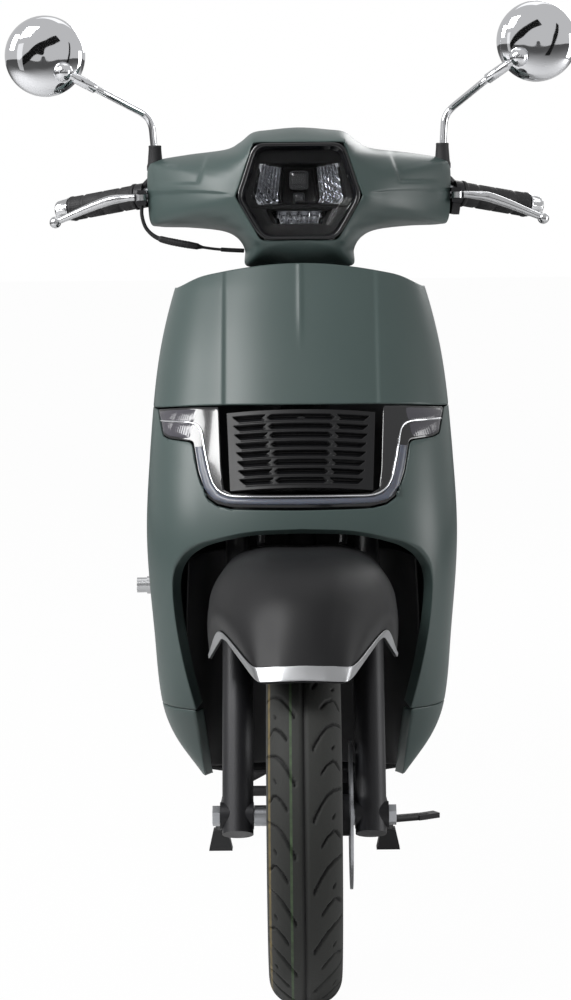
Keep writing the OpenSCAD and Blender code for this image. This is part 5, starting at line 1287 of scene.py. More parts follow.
def bar_cover_grid(rows=76, columns=476):
    """Loops from the bezel to the parting line. A point's share of the way sets x and z, and its depth falls
    by 1 - (1 - share^n)^(1/n). A crease runs level from the bezel's side corners to the cover's ends."""
    inner = round_loop(HEAD_HALF, columns)
    start = on_head(inner, 0.0)
    end = round_loop(COVER_OUTLINE, columns)
    fall = round_loop(COVER_FALL[:, None], columns)[None, :, 0]
    v = np.sin(np.linspace(0, 1, rows) * math.pi / 2)[:, None]
    share = 1 - np.maximum(0, 1 - v**fall) ** (1 / fall)
    grid = start[None] + (end - start)[None] * v[..., None]
    grid[..., 1] = start[None, :, 1] + (end - start)[None, :, 1] * share
    x = np.abs(grid[..., 0])
    near, far = BAR_CREASE_X
    outside = smooth_step(x, near, near + 22) * smooth_step(far - x, 0, 12)
    crease_z = BAR_CREASE_Z + BAR_CREASE_BOW * np.sin((x - near) / (far - near) * math.pi)
    above = smooth_step(grid[..., 2], crease_z - 1.2, crease_z + 1.2)
    below = smooth_step(crease_z - grid[..., 2], 0, BAR_CREASE_FADE)
    grid[..., 1] += BAR_CREASE * outside * (1 - above) * (1 - below)
    grid[..., 1] += mirror_pad(x, grid[..., 2])
    return grid[::-1]


panel("handlebar_cover_front", bar_cover_grid(), WALL, "bar_cover_front", loop=True)

# %% [markdown]
# ## The cover's rear shell
# A second shell closes the handlebar cover towards the rider. It is clipped to the first along the parting
# line, so its low and top edges follow that line. The rows between them are carried back to a bowed face,
# and a smooth sheet goes through all of them.

# %% Handlebar cover's rear shell
REAR_LOW = np.array([[0, 425, NECK_Z], [36, 417, NECK_Z], [60, 398, NECK_Z], [70.5, 373, NECK_Z],
                     [75, 376, 931], [86, 384, 947], [107, 394, 956], [149, 407, 960.5], [188, 418, 962],
                     [COVER_HALF - 3, 452, 978]], float)
REAR_TOP = np.array([[0, 374, 1092], [36, 375, 1090], [60, 377, 1086], [70.5, 379, 1080], [75, 380, 1076.5],
                     [86, 384, 1069.5], [107, 390, 1063], [149, 404, 1058], [188, 418, 1051.5],
                     [COVER_HALF - 3, 452, 1034]], float)
REAR_FACE_Y = 455
REAR_FACE_BOW = 0.00024
PARTING_GAP = (0, 0.5, 0)


def rear_middle(share, inset):
    """Row between the low and top edges, carried back to the shell's bowed rear face."""
    row = REAR_LOW + (REAR_TOP - REAR_LOW) * share
    row[:, 1] = REAR_FACE_Y + REAR_FACE_BOW * row[:, 0] ** 2 - inset
    return row


rear_rows = [REAR_LOW + PARTING_GAP, rear_middle(0.28, 8), rear_middle(0.72, 4), REAR_TOP + PARTING_GAP]
rear_grid = whole_sheet(rear_rows, np.linspace(0, 1, 50), 160)
panel("handlebar_cover_rear", rear_grid[::-1], WALL, "bar_cover_rear")

# %% [markdown]
# ## The front fender
# The fender is one smooth sheet through four key rows, from its silver-trimmed lip back to the fork. The
# trim is a narrow strip of the same sheet, lifted off it, so that it follows every corner.

# %% Fender
STAY_Y = 138.0
STAY_Z = 554.9
FENDER_ROWS = [
    [[0, -186, 434], [28, -186, 433], [52, -178, 431], [97, -18, 463], [117, 40, 424]],
    [[0, -122, 528], [42, -114, 523], [82, -84, 503], [111, -4, 486], [119, 54, 440]],
    [[0, -20, 561], [48, -16, 558], [90, 0, 541], [114, 42, 508], [121, 74, 458]],
    [[0, STAY_Y, STAY_Z], [52, STAY_Y, STAY_Z], [88, 112, 543], [111, 84, 512], [121, 92, 476]]]
FENDER_WALL = 2.4
TRIM_LIFT = 1.04
TRIM_WALL = 1.4
# Share of the way up the fender that the trim covers: at the middle, the front corner, the notch and the side
TRIM_TOP = [[0.058], [0.06], [0.075], [0.11], [0.10]]
TRIM_START, TRIM_LIMIT = 0.003, 0.15
LIP_REACH = 0.3


def fender_sheet(row_shares, columns):
    """Smooth sheet through the key rows, drawn onto straight runs between the keys near the lip."""
    net = mirrored(np.asarray(FENDER_ROWS, float))
    u = np.linspace(0, 1, columns)
    smooth = net_surface(net, row_shares, columns)
    straight = softened(net[0], u, 0.02) - spline(net[0], u)
    hold = np.maximum(0, 1 - np.asarray(row_shares) / LIP_REACH) ** 2
    return smooth + np.asarray(hold)[..., None, None] * straight[None]


def trim_sheet(rows=9, columns=261):
    """The sheet's strip along the lip; its upper border follows the trim's own shares."""
    u = np.linspace(0, 1, columns)
    top = spline(TRIM_TOP[:0:-1] + TRIM_TOP, u)[:, 0]
    fine = fender_sheet(np.linspace(TRIM_START, TRIM_LIMIT, 60), columns)
    up = np.linspace(0, 1, rows)[:, None] * (top - TRIM_START)[None] / (TRIM_LIMIT - TRIM_START)
    first, f = key_place(fine, up)
    f = f[..., None]
    column = np.broadcast_to(np.arange(columns), up.shape)
    return fine[first, column] * (1 - f) + fine[first + 1, column] * f


panel("front_fender_shell", fender_sheet(np.linspace(0, 1, 80), 261), FENDER_WALL, "front_fender")
trim_strip = trim_sheet()
trim_strip = trim_strip + grid_normals(trim_strip) * (TRIM_LIFT + TRIM_WALL)
panel("fender_trim_strip", trim_strip, TRIM_WALL, "fender_trim")

# %% [markdown]
# ## Tyres
# A tyre is a section carried round the axle. Its tread is cut by pushing points inwards along the normals: a
# groove round the middle, and in every period on each side a long curved slash, a short bent one and a dash.
# The groove depth is also stored on the mesh, so that shade can be painted into the rubber down there, and so
# is the place of the front tread, which alone carries the coloured lines.

# %% Tyres
TYRE_MIDDLE, TYRE_RIM, TYRE_CROWN, TYRE_HALF = 198, 46, 35, 45
BEAD_SHARE = 0.62
TREAD_SQUARE = 0.75
TREAD_FROM = 4
TREAD_PERIODS = 17
TREAD_DEPTH = 3.4
LONG_SLASH = [[10, 0], [14, 8.5], [20, 20], [27, 31], [34, 38], [44, 43]]
BENT_SLASH = [[20, -29], [27, -18], [34, -11], [37, -11.5], [42, -19]]
DASH = [[33, 4], [36, 9]]


def tyre_section():
    """Half widths and radii from the bead on the -X side over the crown to the other bead."""
    side = np.radians(np.linspace(-90, 0, 9)[:-1])
    tread = np.radians(np.linspace(0, 90, 41))
    half = TYRE_HALF * np.concatenate([BEAD_SHARE + (1 - BEAD_SHARE) * np.cos(side),
                                       np.maximum(0, np.cos(tread)) ** TREAD_SQUARE])
    radius = TYRE_MIDDLE + np.concatenate([TYRE_RIM * np.sin(side), TYRE_CROWN * np.sin(tread)])
    return np.concatenate([-half, half[-2::-1]]), np.concatenate([radius, radius[-2::-1]])


def slash(x, arc, period, keys, half_width):
    """How far inside a groove each place is, from 0 to 1. The groove's middle follows keys of [x, arc]."""
    keys = np.asarray(keys, float)
    middle = np.interp(x, keys[:, 0], keys[:, 1])
    slope = np.clip(np.gradient(middle, x), -4, 4)
    away = np.abs((arc - middle[None] + period / 2) % period - period / 2) / np.sqrt(1 + slope**2)
    first, last = keys[0, 0], keys[-1, 0]
    ends = smooth_step(x, first - 1, first + 1) * (1 - smooth_step(x, last - 1, last + 1))
    return (1 - smooth_step(away, half_width * 0.6, half_width * 1.4)) * ends[None]


def tyre(name, node, axle, steps=1003):
    """Rings of the section round the axle, with the tread pushed in."""
    x, radius = tyre_section()
    turn = full_turn(steps)[:, None]
    grid = np.stack([np.broadcast_to(x, (steps, x.size)), axle[0] - radius * np.cos(turn),
                     axle[1] + radius * np.sin(turn)], -1)
    period = 2 * math.pi * (TYRE_MIDDLE + TYRE_CROWN) / TREAD_PERIODS
    arc = turn * (TYRE_MIDDLE + TYRE_CROWN)
    groove = 1 - smooth_step(np.abs(x), 2.2, 3.6)[None] + 0 * arc
    on_tread = radius > TYRE_MIDDLE + TREAD_FROM
    order = np.argsort(np.abs(x), kind="stable")
    back = np.argsort(order)
    for keys, width in ((LONG_SLASH, 1.6), (BENT_SLASH, 1.3), (DASH, 1.0)):
        reach_out = np.abs(x)[order] + 1e-6 * np.arange(x.size)
        shift = np.where(x < 0, 0.0, period / 2)[order][None]
        cut = slash(reach_out, arc + shift, period, keys, width)[:, back]
        groove = np.maximum(groove, cut * on_tread[None])
    grid = grid - grid_normals(grid) * (TREAD_DEPTH * groove)[..., None]
    piece = hoop(name, grid, node, sharp=60)
    marked = np.broadcast_to(on_tread * (node == "front_tyre"), groove.shape)
    # The groove depth also sets the painted shade in the grooves
    for label, values in (("groove", groove), ("marked", marked)):
        store = piece.data.attributes.new(label, "FLOAT", "POINT")
        store.data.foreach_set("value", values.ravel().astype(np.float32))


tyre("front_tyre_tread", "front_tyre", (0.0, FRONT_AXLE[2] / MM))
tyre("rear_tyre_tread", "rear_tyre", (REAR_Y, REAR_AXLE[2] / MM))

# %% [markdown]
# ## Mirrors
# Each mirror is a deep chromed dish on a ball joint. The stem is a bent chrome rod with a thicker sleeve
# below the ball, and a rubber boot seals its foot on the handlebar cover. The two sit at different heights.

# %% Mirrors
# Middle of the dish, ball joint, and the bends of the stem
MIRRORS = {
    "left": ((321, 372, 1205), (295, 348, 1183),
             [[199, 416, 1106], [207, 415, 1117], [250, 366, 1152]]),
    "right": ((-340, 372, 1191), (-314, 348, 1169),
              [[-200, 416, 1102], [-208, 415, 1113], [-268, 365, 1145]]),
}
DISH_BACK = [[-2, 0.5], [-2, 26], [-2, 51.4], [-4.5, 51.5], [-5, 52.1], [-5, 53.4], [-4.6, 54], [-2, 54]]
DISH_KEYS = [[0, 54], [9, 50], [17, 38], [21.5, 20], [23, 0.4]]
GLASS_PROFILE = [[0, 0.5], [0, 30], [0, 51.2], [2.8, 51.2], [2.8, 30], [2.8, 0.5]]
GLASS_BACK = (0, 2.1, 0)
BALL_R = 9
CUP_R = 13
CUP_PLAY = 0.3
CUP_MOUTH = 8.2
STEM_R = 4.8
SLEEVE_R = 7
STEM_FOOT = np.array([196, 417, 1041.4])
STEM_START = (0, 0, 12)
BOOT_PROFILE = [[-4, 11.4], [2, 11.4], [3.4, 11], [6, 10.2], [24, 8.8], [27, 8.7], [28.5, 8.9], [29.6, 8.5],
                [30, 7.8], [30, 4.9]]


def even_path(keys, count, ease):
    """Evenly spaced places along straight runs, each the mean of its neighbours, so that the corners bend."""
    path = even_places(np.asarray(keys, float), count)
    held = np.concatenate([path[:1] - (path[1:ease + 1] - path[:1])[::-1], path,
                           path[-1:] + (path[-1:] - path[-ease - 1:-1])[::-1]])
    return np.mean([held[k:k + count] for k in range(2 * ease + 1)], axis=0)


def cup_profile():
    """Socket about the ball: the inner sphere from pole to mouth, then the outer one back to its pole."""
    inner = np.linspace(0.02, math.pi - math.asin(CUP_MOUTH / (BALL_R + CUP_PLAY)), 18)
    outer = np.linspace(math.pi - math.asin(CUP_MOUTH / CUP_R), 0.02, 24)
    return np.concatenate([circle(inner) * (BALL_R + CUP_PLAY), circle(outer) * CUP_R])


def sleeved_stem(keys, ball):
    """Rod along the bent path into the ball, with a sleeve over part of its last run."""
    path = even_path([*keys, ball], 90, 4)
    knee = np.asarray(keys[-1], float)
    to_ball = np.asarray(ball, float) - knee
    sleeve = np.array([[0.08, 0.5], [0.08, SLEEVE_R - 0.6], [0.095, SLEEVE_R], [0.4, SLEEVE_R],
                       [0.62, SLEEVE_R - 0.2], [0.68, SLEEVE_R - 1], [0.69, 0.5]])
    sleeve[:, 0] *= np.linalg.norm(to_ball)
    return [loft_arrays(sweep(path, STEM_R, (0, 1, 0.2), 24)), loft_arrays(spin(sleeve, knee, to_ball, 32)),
            loft_arrays(spin(ball_profile(BALL_R), ball, to_ball, 32))]


dish_front = spline(DISH_KEYS, np.linspace(0, 1, 40))
stem_arrays, boot_arrays = [], []
for side_name, (middle, ball, stem_keys) in MIRRORS.items():
    dish = loft_arrays(spin(np.concatenate([DISH_BACK, dish_front]), middle, (0, -1, 0), 128))
    away = np.asarray(ball, float) - stem_keys[-1]
    cup = loft_arrays(spin(cup_profile(), ball, away, 48))
    several("mirror_dish_" + side_name, [dish, cup], "mirror_head_" + side_name, sharp=40)
    glass = spin(GLASS_PROFILE, np.asarray(middle) + GLASS_BACK, (0, 1, 0), 128)
    loft("mirror_plate_" + side_name, glass, "mirror_glass_" + side_name, sharp=40)
    foot = STEM_FOOT * (math.copysign(1, middle[0]), 1, 1)
    stem_arrays += sleeved_stem([foot + STEM_START, *stem_keys], ball)
    boot_arrays.append(loft_arrays(spin(BOOT_PROFILE, foot, (0, 0, 1), 48)))
several("mirror_stem_rods", stem_arrays, "mirror_stems", finish="chrome", sharp=40)
several("mirror_boots", boot_arrays, "mirror_stems", finish="rubber", sharp=50)

# %% [markdown]
# ## The grips
# A grip is a rubber sleeve with a flange, a barrel with ring grooves and a rounded end. It could be turned
# on a lathe, so its rings are a profile spun about the bar. Fine lengthwise ribs are cut into the radius by
# a wave, only where the profile's third number asks for them.

# %% Grips
BAR_BEND = np.array([200, 426, 1006], float)
BAR_END = np.array([344, 486, 981], float)
BAR_LENGTH = float(np.linalg.norm(BAR_END - BAR_BEND))
GRIP_START, GRIP_LENGTH, GRIP_R, BAR_R = 23, 110, 16.5, 11
GRIP_SHARE = 0.93
GRIP_RIBS, GRIP_RIB_DEPTH = 36, 0.35
GRIP_SLIP, THROTTLE_SLIP = 0.05, 0.09


def on_bar(profile, ripple, waves, sides=144):
    """Rings of a profile about the left bar, cut by a rounded ripple where the profile asks for it."""
    rings = spin(profile[:, :2], BAR_BEND, BAR_END - BAR_BEND, sides)
    axis = BAR_BEND + profile[:, :1] * (BAR_END - BAR_BEND) / BAR_LENGTH
    turn = full_turn(sides)
    wave = ripple * np.abs(np.sin(turn * waves / 2))[None] * profile[:, 2][:, None]
    return rings - (rings - axis[:, None]) / np.maximum(profile[:, 1], 1)[:, None, None] * wave[..., None]


def ring_groove(at):
    """Profile rows of a ring groove about a place on the grip."""
    return [[at - 3.5, GRIP_R, 1], [at - 2.1, 15.6, 0], [at - 1.3, 15.2, 0], [at + 1.3, 15.2, 0],
            [at + 2.1, 15.6, 0], [at + 3.5, GRIP_R, 1]]


def grip_profile(bore):
    """Rows of [along, radius, share of ribbing], from the bore over the barrel and back into the bore."""
    flange = [[0, bore, 0], [0, 17, 0], [0.4, 17.8, 0], [1, 18, 0], [4, 18, 0], [4.8, 17.6, 0], [6, 16.8, 0],
              [7.5, 16.3, 0], [9, GRIP_R, 1]]
    middle = [[53, GRIP_R, 1], [54.2, 15.7, 0], [55.8, 15.7, 0], [57, GRIP_R, 1]]
    end = [[104, GRIP_R, 1], [105, 16.8, 0], [106, 17.2, 0], [108.6, 17.2, 0], [109.6, 16.9, 0],
           [GRIP_LENGTH, 16.2, 0], [GRIP_LENGTH, bore, 0]]
    outside = flange + ring_groove(26.5) + middle + ring_groove(86.5) + end
    return np.array(outside, float) * (GRIP_SHARE, 1, 1) + (GRIP_START, 0, 0)


left_rings = on_bar(grip_profile(BAR_R + GRIP_SLIP), GRIP_RIB_DEPTH, GRIP_RIBS)
right_rings = (on_bar(grip_profile(BAR_R + THROTTLE_SLIP), GRIP_RIB_DEPTH, GRIP_RIBS) * X_FLIP)[:, ::-1]
hoop("left_grip_sleeve", left_rings, "left_grip", sharp=50)
hoop("throttle_grip_sleeve", right_rings, "throttle_grip", sharp=50)

# %% [markdown]
# ## The bar and its ends
# The handlebar is one steel tube, bent twice inside its cover. A fluted alloy knob closes each end and damps
# the bar's buzzing. The knob is milled from a turned blank, so it is spun like a grip, with deeper waves.

# %% Handlebar and bar ends
KNOB_FLUTES, KNOB_FLUTE_DEPTH = 10, 1.5
# The knob's rows are written for a bar of this length
KNOB_BAR = 157.98
KNOB = np.array([[134.6, 4, 0], [134.6, 15.4, 0], [135, 16, 0], [136.2, 16.2, 0], [137, 15.8, 0],
                 [138, 15.6, 1], [148, 14.8, 1], [151, 14.4, 0.6], [153, 13.8, 0], [154.6, 12.8, 0],
                 [155.6, 11, 0], [156, 8, 0], [155.8, 5, 0], [155.6, 1, 0]], float)
KNOB[:, 0] += BAR_LENGTH - KNOB_BAR - GRIP_LENGTH * (1 - GRIP_SHARE)
CROSS_KEYS = [[-204, 427, 1006], [-110, 408, 1012], [110, 408, 1012], [204, 427, 1006]]
TUBE_SHORT = 28
knob_rings = on_bar(KNOB, KNOB_FLUTE_DEPTH, KNOB_FLUTES)
tube_end = [[-4, 2], [-4, BAR_R], [BAR_LENGTH - TUBE_SHORT, BAR_R], [BAR_LENGTH - TUBE_SHORT, 2]]
tube = loft_arrays(spin(tube_end, BAR_BEND, BAR_END - BAR_BEND, 48))
cross = loft_arrays(sweep(even_path(CROSS_KEYS, 120, 6), BAR_R - 0.3, (0, 1, 0), 32))
several("handlebar_tube", [*mirror_arrays([tube]), cross], "handlebar", sharp=40)
several("bar_end_knobs", mirror_arrays([loft_arrays(knob_rings)]), "handlebar", finish="alloy", sharp=40)

# %% [markdown]
# ## The levers
# A brake lever is a forged blade: an eye on its pivot, a bent arm that swells where the fingers pull, and a
# ball at its tip that can't hook into things. The arm is a sweep whose radius is eased between keys.

# %% Levers
LEVER_PIVOT = np.array([214.7, 398.1, 1001])
LEVER_PATH = [LEVER_PIVOT, LEVER_PIVOT + (14, 1.5, 0), [240, 402.5, 1000], [258, 405, 997.5],
              [282, 412.5, 989.5], [306, 421, 980], [322, 427, 973.4], [335, 431, 968]]
LEVER_RADII = [4.4, 4.5, 5.4, 6.5, 6, 5.2, 4.6, 4.2]
LEVER_BALL = 8
LEVER_EYE = [[-4.5, 4.05], [-4.5, 7], [-4, 7.5], [4, 7.5], [4.5, 7], [4.5, 4.05]]
# The first rings of the arm lie inside the eye's bore and are left out
LEVER_START = 7


def lever_arrays():
    """Blade of circles along the bent path with an eased radius, then the ball and the pivot's eye."""
    share = np.linspace(0, 1, 80)
    path = spline(LEVER_PATH, share)
    radius = spline(np.array(LEVER_RADII)[:, None], share)[:, 0]
    blade = sweep(path, radius, (0, 0, 1), 32)
    ball = spin(ball_profile(LEVER_BALL), LEVER_PATH[-1], (1, 0.3, -0.4), 32)
    eye = spin(LEVER_EYE, LEVER_PIVOT, (0, 0, 1), 48)
    return [loft_arrays(blade[LEVER_START:]), loft_arrays(ball), hoop_arrays(eye)]


left_lever = lever_arrays()
right_lever = mirror_arrays(left_lever)[len(left_lever):]
several("brake_lever_left_blade", left_lever, "brake_lever_left", sharp=40)
several("brake_lever_right_blade", right_lever, "brake_lever_right", sharp=40)

# %% [markdown]
# ## The brake cable
# The cable's sheath leaves the right lever, dips under the cover and goes into the neck. A ribbed boot and a
# metal ferrule make it thicker in places, so one sweep with a varying radius draws all of it.

# %% Cable
BOOT_RIB = 0.25
CABLE_ROUTE = [[-214, 398, 990], [-214, 399, 976], [-209, 401, 960], [-197, 402, 948], [-180, 402, 942],
               [-150, 401, 936], [-120, 400, 931], [-98, 396, 929], [-76, 388, 928]]
CABLE_SHARES = [0, 0.3, 0.42, 0.44, 0.5, 0.54, 0.62, 0.67, 0.68, 0.7, 0.82, 0.825, 1]
CABLE_RADII = [2.4, 2.6, 3.2, 4.4, 4.8, 5.0, 4.9, 4.4, 3.2, 1.9, 1.9, 2.9, 2.9]
cable_share = np.linspace(0, 1, 200)
cable_radius = np.interp(cable_share, CABLE_SHARES, CABLE_RADII)
on_boot = (cable_share > 0.5) & (cable_share < 0.62)
cable_radius = cable_radius + BOOT_RIB * np.sin(cable_share * 420) * on_boot
cable_path = spline(CABLE_ROUTE, cable_share)
loft("brake_cable_hose", sweep(cable_path, cable_radius, (0, 1, 0), 20), "brake_cable")

# %% [markdown]
# ## Inside the arch and behind the shield
# The liner is a dark curtain behind the wheel, and the inner leg shield closes the front body towards the
# rider. Both are smooth sheets through a few key rows.

# %% Liner and inner leg shield
LINER_EDGE = [[125, 262, 242], [139, 215, 300], [150, 176, 420], [146, 172, 534]]
INNER_BULGE = [[SEAM_Z + 1.2, 400], [450, 402], [600, 405], [760, 418], [884, 448.5]]
EDGE_GAP = 2.9
INNER_CORNER = 12
INNER_ROWS, INNER_COLUMNS = 80, 161


def liner_row(edge):
    """Row from the middle of the curtain round to its edge behind the arch's lip."""
    x, y, z = edge
    return [[0, 286, z], [70, 282, z], [min(118, x - 12), max(y + 4, 254), z], edge]


def inner_row(height, bulge):
    """Row from the bulge in the middle out to the leg shield's edge."""
    half = float(shield_half(height))
    edge = float(profile_at(height)[2:].sum()) + EDGE_GAP
    return [[0, bulge, height], [0.42 * half, bulge - 6, height],
            [0.8 * half, edge + (bulge - edge) * 0.6, height], [half, edge, height]]


liner_grid = whole_sheet([liner_row(edge) for edge in LINER_EDGE], np.linspace(0, 1, 50), 121)
panel("wheel_arch_curtain", liner_grid, WALL, "wheel_arch_liner")
inner_up = np.linspace(0, 1, INNER_ROWS)
inner_grid = whole_sheet([inner_row(*row) for row in INNER_BULGE], inner_up, INNER_COLUMNS)
inner_share = np.abs(np.linspace(-1, 1, INNER_COLUMNS))[None]
inner_rise = smooth_step(inner_up, 0.8, 1.0)[:, None]
inner_grid[..., 2] -= INNER_CORNER * inner_rise * smooth_step(inner_share, 0.7, 1.0) ** 2
panel("inner_leg_shield_shell", inner_grid[:, ::-1], WALL, "inner_leg_shield")

# %% [markdown]
# ## The rear body
# Two side panels run from the floor to the tail light, and the skirt closes them under the seat's nose. They
# are plain moulded sheets, so three rows of keys are enough for a panel. The skirt takes its outline from
# the panels' front edges and has a notch in its top for the seat's catch.

# %% Side panels and skirt
PANEL_LOW = [[163, 715, 344], [152, 880, 398], [150, 1140, 520], [124, 1360, 578], [72, 1485, 618]]
PANEL_MID = [[177, 715, 470], [177, 880, 520], [172, 1140, 600], [142, 1360, 636], [80, 1490, 652]]
PANEL_TOP = [[146, 715, 699], [150, 880, 699], [150, 1140, 699], [126, 1360, 699], [72, 1485, 698]]
SKIRT_BOWS = [[0.03, 2], [0.35, 5], [0.7, 6], [1, 5]]
NOTCH_HALF = 36
NOTCH_Z = 684
rear_up = np.linspace(0, 1, 60)

side_grid = net_surface([PANEL_LOW, PANEL_MID, PANEL_TOP], rear_up, 140)
two_sided("side_panel_shells", side_grid, WALL, "side_panels")


def skirt_row(share, bow):
    """Row of the skirt, bowed forwards between the front edges of the side panels."""
    x, y, z = stepped([PANEL_LOW[0], PANEL_MID[0], PANEL_TOP[0]], share)
    return [[0, y - bow, z], [0.55 * x, y - 0.8 * bow, z], [x - WALL - 2.4, y + 1, z]]


skirt_grid = whole_sheet([skirt_row(*row) for row in SKIRT_BOWS], rear_up, 161)
skirt_top = skirt_grid[-1, :, 2] - NOTCH_Z
in_notch = 1 - smooth_step(np.abs(skirt_grid[-1, :, 0]), NOTCH_HALF, NOTCH_HALF + 3)
skirt_drop = in_notch * (skirt_top + 1)
skirt_grid[..., 2] -= skirt_drop[None] * rear_up[:, None] ** 2
panel("seat_skirt_shell", skirt_grid, WALL, "seat_skirt")

# %% [markdown]
# ## The mudguard
# The rear mudguard is an arch over the tyre, wider than the wheel and turned down at its sides. A section is
# carried round the rear axle, and the radius grows towards the top, where the suspension needs room.

# %% Mudguard
GUARD_HIGH, GUARD_LOW = 84, 22
GUARD_TURNS = np.linspace(GUARD_HIGH, GUARD_LOW, 5)
GUARD_SECTION = [[0, 0], [0.6, 2], [0.92, 9], [1, 22]]
GUARD_HALF = 72
GUARD_WALL = 2.4
GUARD_RADII = (285.8, 322)


def guard_row(turn):
    """Row of the arch at a turn about the rear axle; its sides hang down towards the wheel."""
    share = (turn - GUARD_LOW) / (GUARD_HIGH - GUARD_LOW)
    radius = GUARD_RADII[0] + (GUARD_RADII[1] - GUARD_RADII[0]) * share
    a = math.radians(turn)
    return [[GUARD_HALF * side, REAR_Y + (radius - drop) * math.cos(a),
             REAR_AXLE[2] / MM + (radius - drop) * math.sin(a)] for side, drop in GUARD_SECTION]


guard_grid = whole_sheet([guard_row(turn) for turn in GUARD_TURNS], rear_up, 81)
panel("rear_mudguard_shell", guard_grid[:, ::-1], GUARD_WALL, "rear_mudguard")

# %% [markdown]
# ## The tail light
# The tail light is a red lens, straight in front and bowed behind, with two ring grooves between its lamps.
# It is a stack of outlines, each drawn in by an inset. Two hidden blocks ahead of it hold it to the frame.

# %% Tail light
TAIL_HALF, TAIL_BOW, TAIL_LOW, TAIL_HIGH = 67, 14, 628, 690
TAIL_Y = REAR_Y + 186
TAIL_FRONT = 30
TAIL_STEM = [[14, REAR_Y + 114, 666.9], [47.5, REAR_Y + 180, 678.9]]


def tail_ring(z, inset):
    """Outline of the tail light at a height: straight in front, bowed behind, drawn in by an inset."""
    turn = np.linspace(0, math.pi, 60)
    bow = np.stack([(TAIL_HALF - inset) * np.cos(turn), TAIL_Y + (TAIL_BOW - inset) * np.sin(turn)], -1)
    front = np.linspace(-TAIL_HALF + inset, TAIL_HALF - inset, 20)
    straight = np.stack([front, np.full(front.size, TAIL_Y - TAIL_FRONT + inset)], -1)
    flat = np.concatenate([bow, straight])
    return np.column_stack([flat, np.full(len(flat), z)])


def block_arrays(low, high):
    """Plain block between two corners."""
    (x0, y0, z0), (x1, y1, z1) = low, high
    ring = [[x0, y0], [x1, y0], [x1, y1], [x0, y1]]
    return loft_arrays([[[*corner, z] for corner in ring] for z in (z0, z1)])


# Height and inset of each outline
TAIL_STEPS = [[TAIL_LOW, 8], [TAIL_LOW, 2], [TAIL_LOW + 0.6, 0.6], [TAIL_LOW + 2, 0], [650, 0], [651, 0.8],
              [653, 0.8], [654, 0], [664, 0], [665, 0.8], [667, 0.8], [668, 0], [TAIL_HIGH - 2, 0],
              [TAIL_HIGH - 0.6, 0.6], [TAIL_HIGH, 2], [TAIL_HIGH, 8]]
tail_lens = loft_arrays([tail_ring(*step) for step in TAIL_STEPS])
several("tail_light_lens", [tail_lens, *mirror_arrays([block_arrays(*TAIL_STEM)])], "tail_light", sharp=40)

# %% [markdown]
# ## The grab rail
# The passenger holds on to a bent tube behind the seat, on two struts. The tube's path goes through a few
# keys and is eased at its bends, as a pipe bender would leave it. Towards its ends the radius falls along a
# quarter circle.

# %% Grab rail
GRAB_PATH = [[0, REAR_Y + 200, 752], [70, REAR_Y + 190, 750], [114, REAR_Y + 140, 744],
             [147, REAR_Y + 20, 738]]
GRAB_R = 9
GRAB_STEPS = 160
GRAB_ROUNDED = 0.025
STRUT_KEYS = [[44, REAR_Y + 128, 679], [74, REAR_Y + 176, 748]]
STRUT_R = 7.5
grab_keys = [[-x, y, z] for x, y, z in GRAB_PATH[:0:-1]] + GRAB_PATH
grab_tube = even_path(grab_keys, GRAB_STEPS, 9)
near_end = np.maximum(0, np.abs(np.linspace(-1, 1, GRAB_STEPS)) - (1 - GRAB_ROUNDED)) / GRAB_ROUNDED
grab_round = GRAB_R * np.sqrt(np.clip(1 - near_end**2, 0.02, 1))
strut = sweep(even_path(STRUT_KEYS, 20, 1), STRUT_R, (1, 0, 0), 24)
several("grab_rail_tube", [loft_arrays(sweep(grab_tube, grab_round, (0, 0, 1), 28)),
                           *mirror_arrays([loft_arrays(strut)])], "grab_rail")

# %% [markdown]
# ## Springs
# Each shock carries a coil of round wire, wound on a mandrel. The wire's path is a helix about the shock's
# own line, and the sweep gives it its thickness.

# %% Springs
SHOCK_TOP = np.array([112, REAR_Y - 90, 560], float)
SHOCK_LOW = np.array([112, REAR_Y - 15, 275], float)
COIL_R = 18.5
WIRE_R = 3.4
COIL_TURNS = 9
COIL_ENDS = (42.0, 34.0)
COIL_GAP = 0.4


def coil_path():
    """Helix: steps along the shock's line, and a circle across it that turns as it goes."""
    line = SHOCK_LOW - SHOCK_TOP
    length = np.linalg.norm(line)
    down = line / length
    side = np.array([1.0, 0, 0])
    over = np.cross(down, side)
    share = np.linspace(0, 1, COIL_TURNS * 44 + 1)
    turn = 2 * math.pi * COIL_TURNS * share
    margin = WIRE_R + COIL_GAP
    along = COIL_ENDS[0] + margin + (length - sum(COIL_ENDS) - 2 * margin) * share
    across = np.cos(turn)[:, None] * side + np.sin(turn)[:, None] * over
    return SHOCK_TOP + along[:, None] * down + COIL_R * across, down


helix, shock_line = coil_path()
wire = loft_arrays(sweep(helix, WIRE_R, shock_line, 14))
coils = several("shock_coils", mirror_arrays([wire]), "shock_springs")
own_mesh(coils)

# %% [markdown]
# ## The seat's form
# The seat is foam under a vinyl cover: a long squared oval, narrow at the nose and stepped up for the
# passenger. Its slices are squared ovals with a crowned top. The form is drawn a little small, because the
# next step swells it.

# %% Seat form
SEAT_FRONT, SEAT_END, SEAT_HALF, SEAT_HIGH = 688, REAR_Y + 100, 150, 66
SEAT_FLOOR = 708.4
# Share along, share of the half width, share of the height
SEAT_ROWS = [[0, 0.62, 0.72], [0.06, 0.74, 0.97], [0.25, 0.86, 0.98], [0.48, 1, 0.95], [0.6, 0.99, 1.12],
             [0.85, 0.88, 1.2], [0.96, 0.8, 1.16], [1, 0.7, 0.86]]
SEAT_SHRINK = 0.985
SEAT_INSET = 4


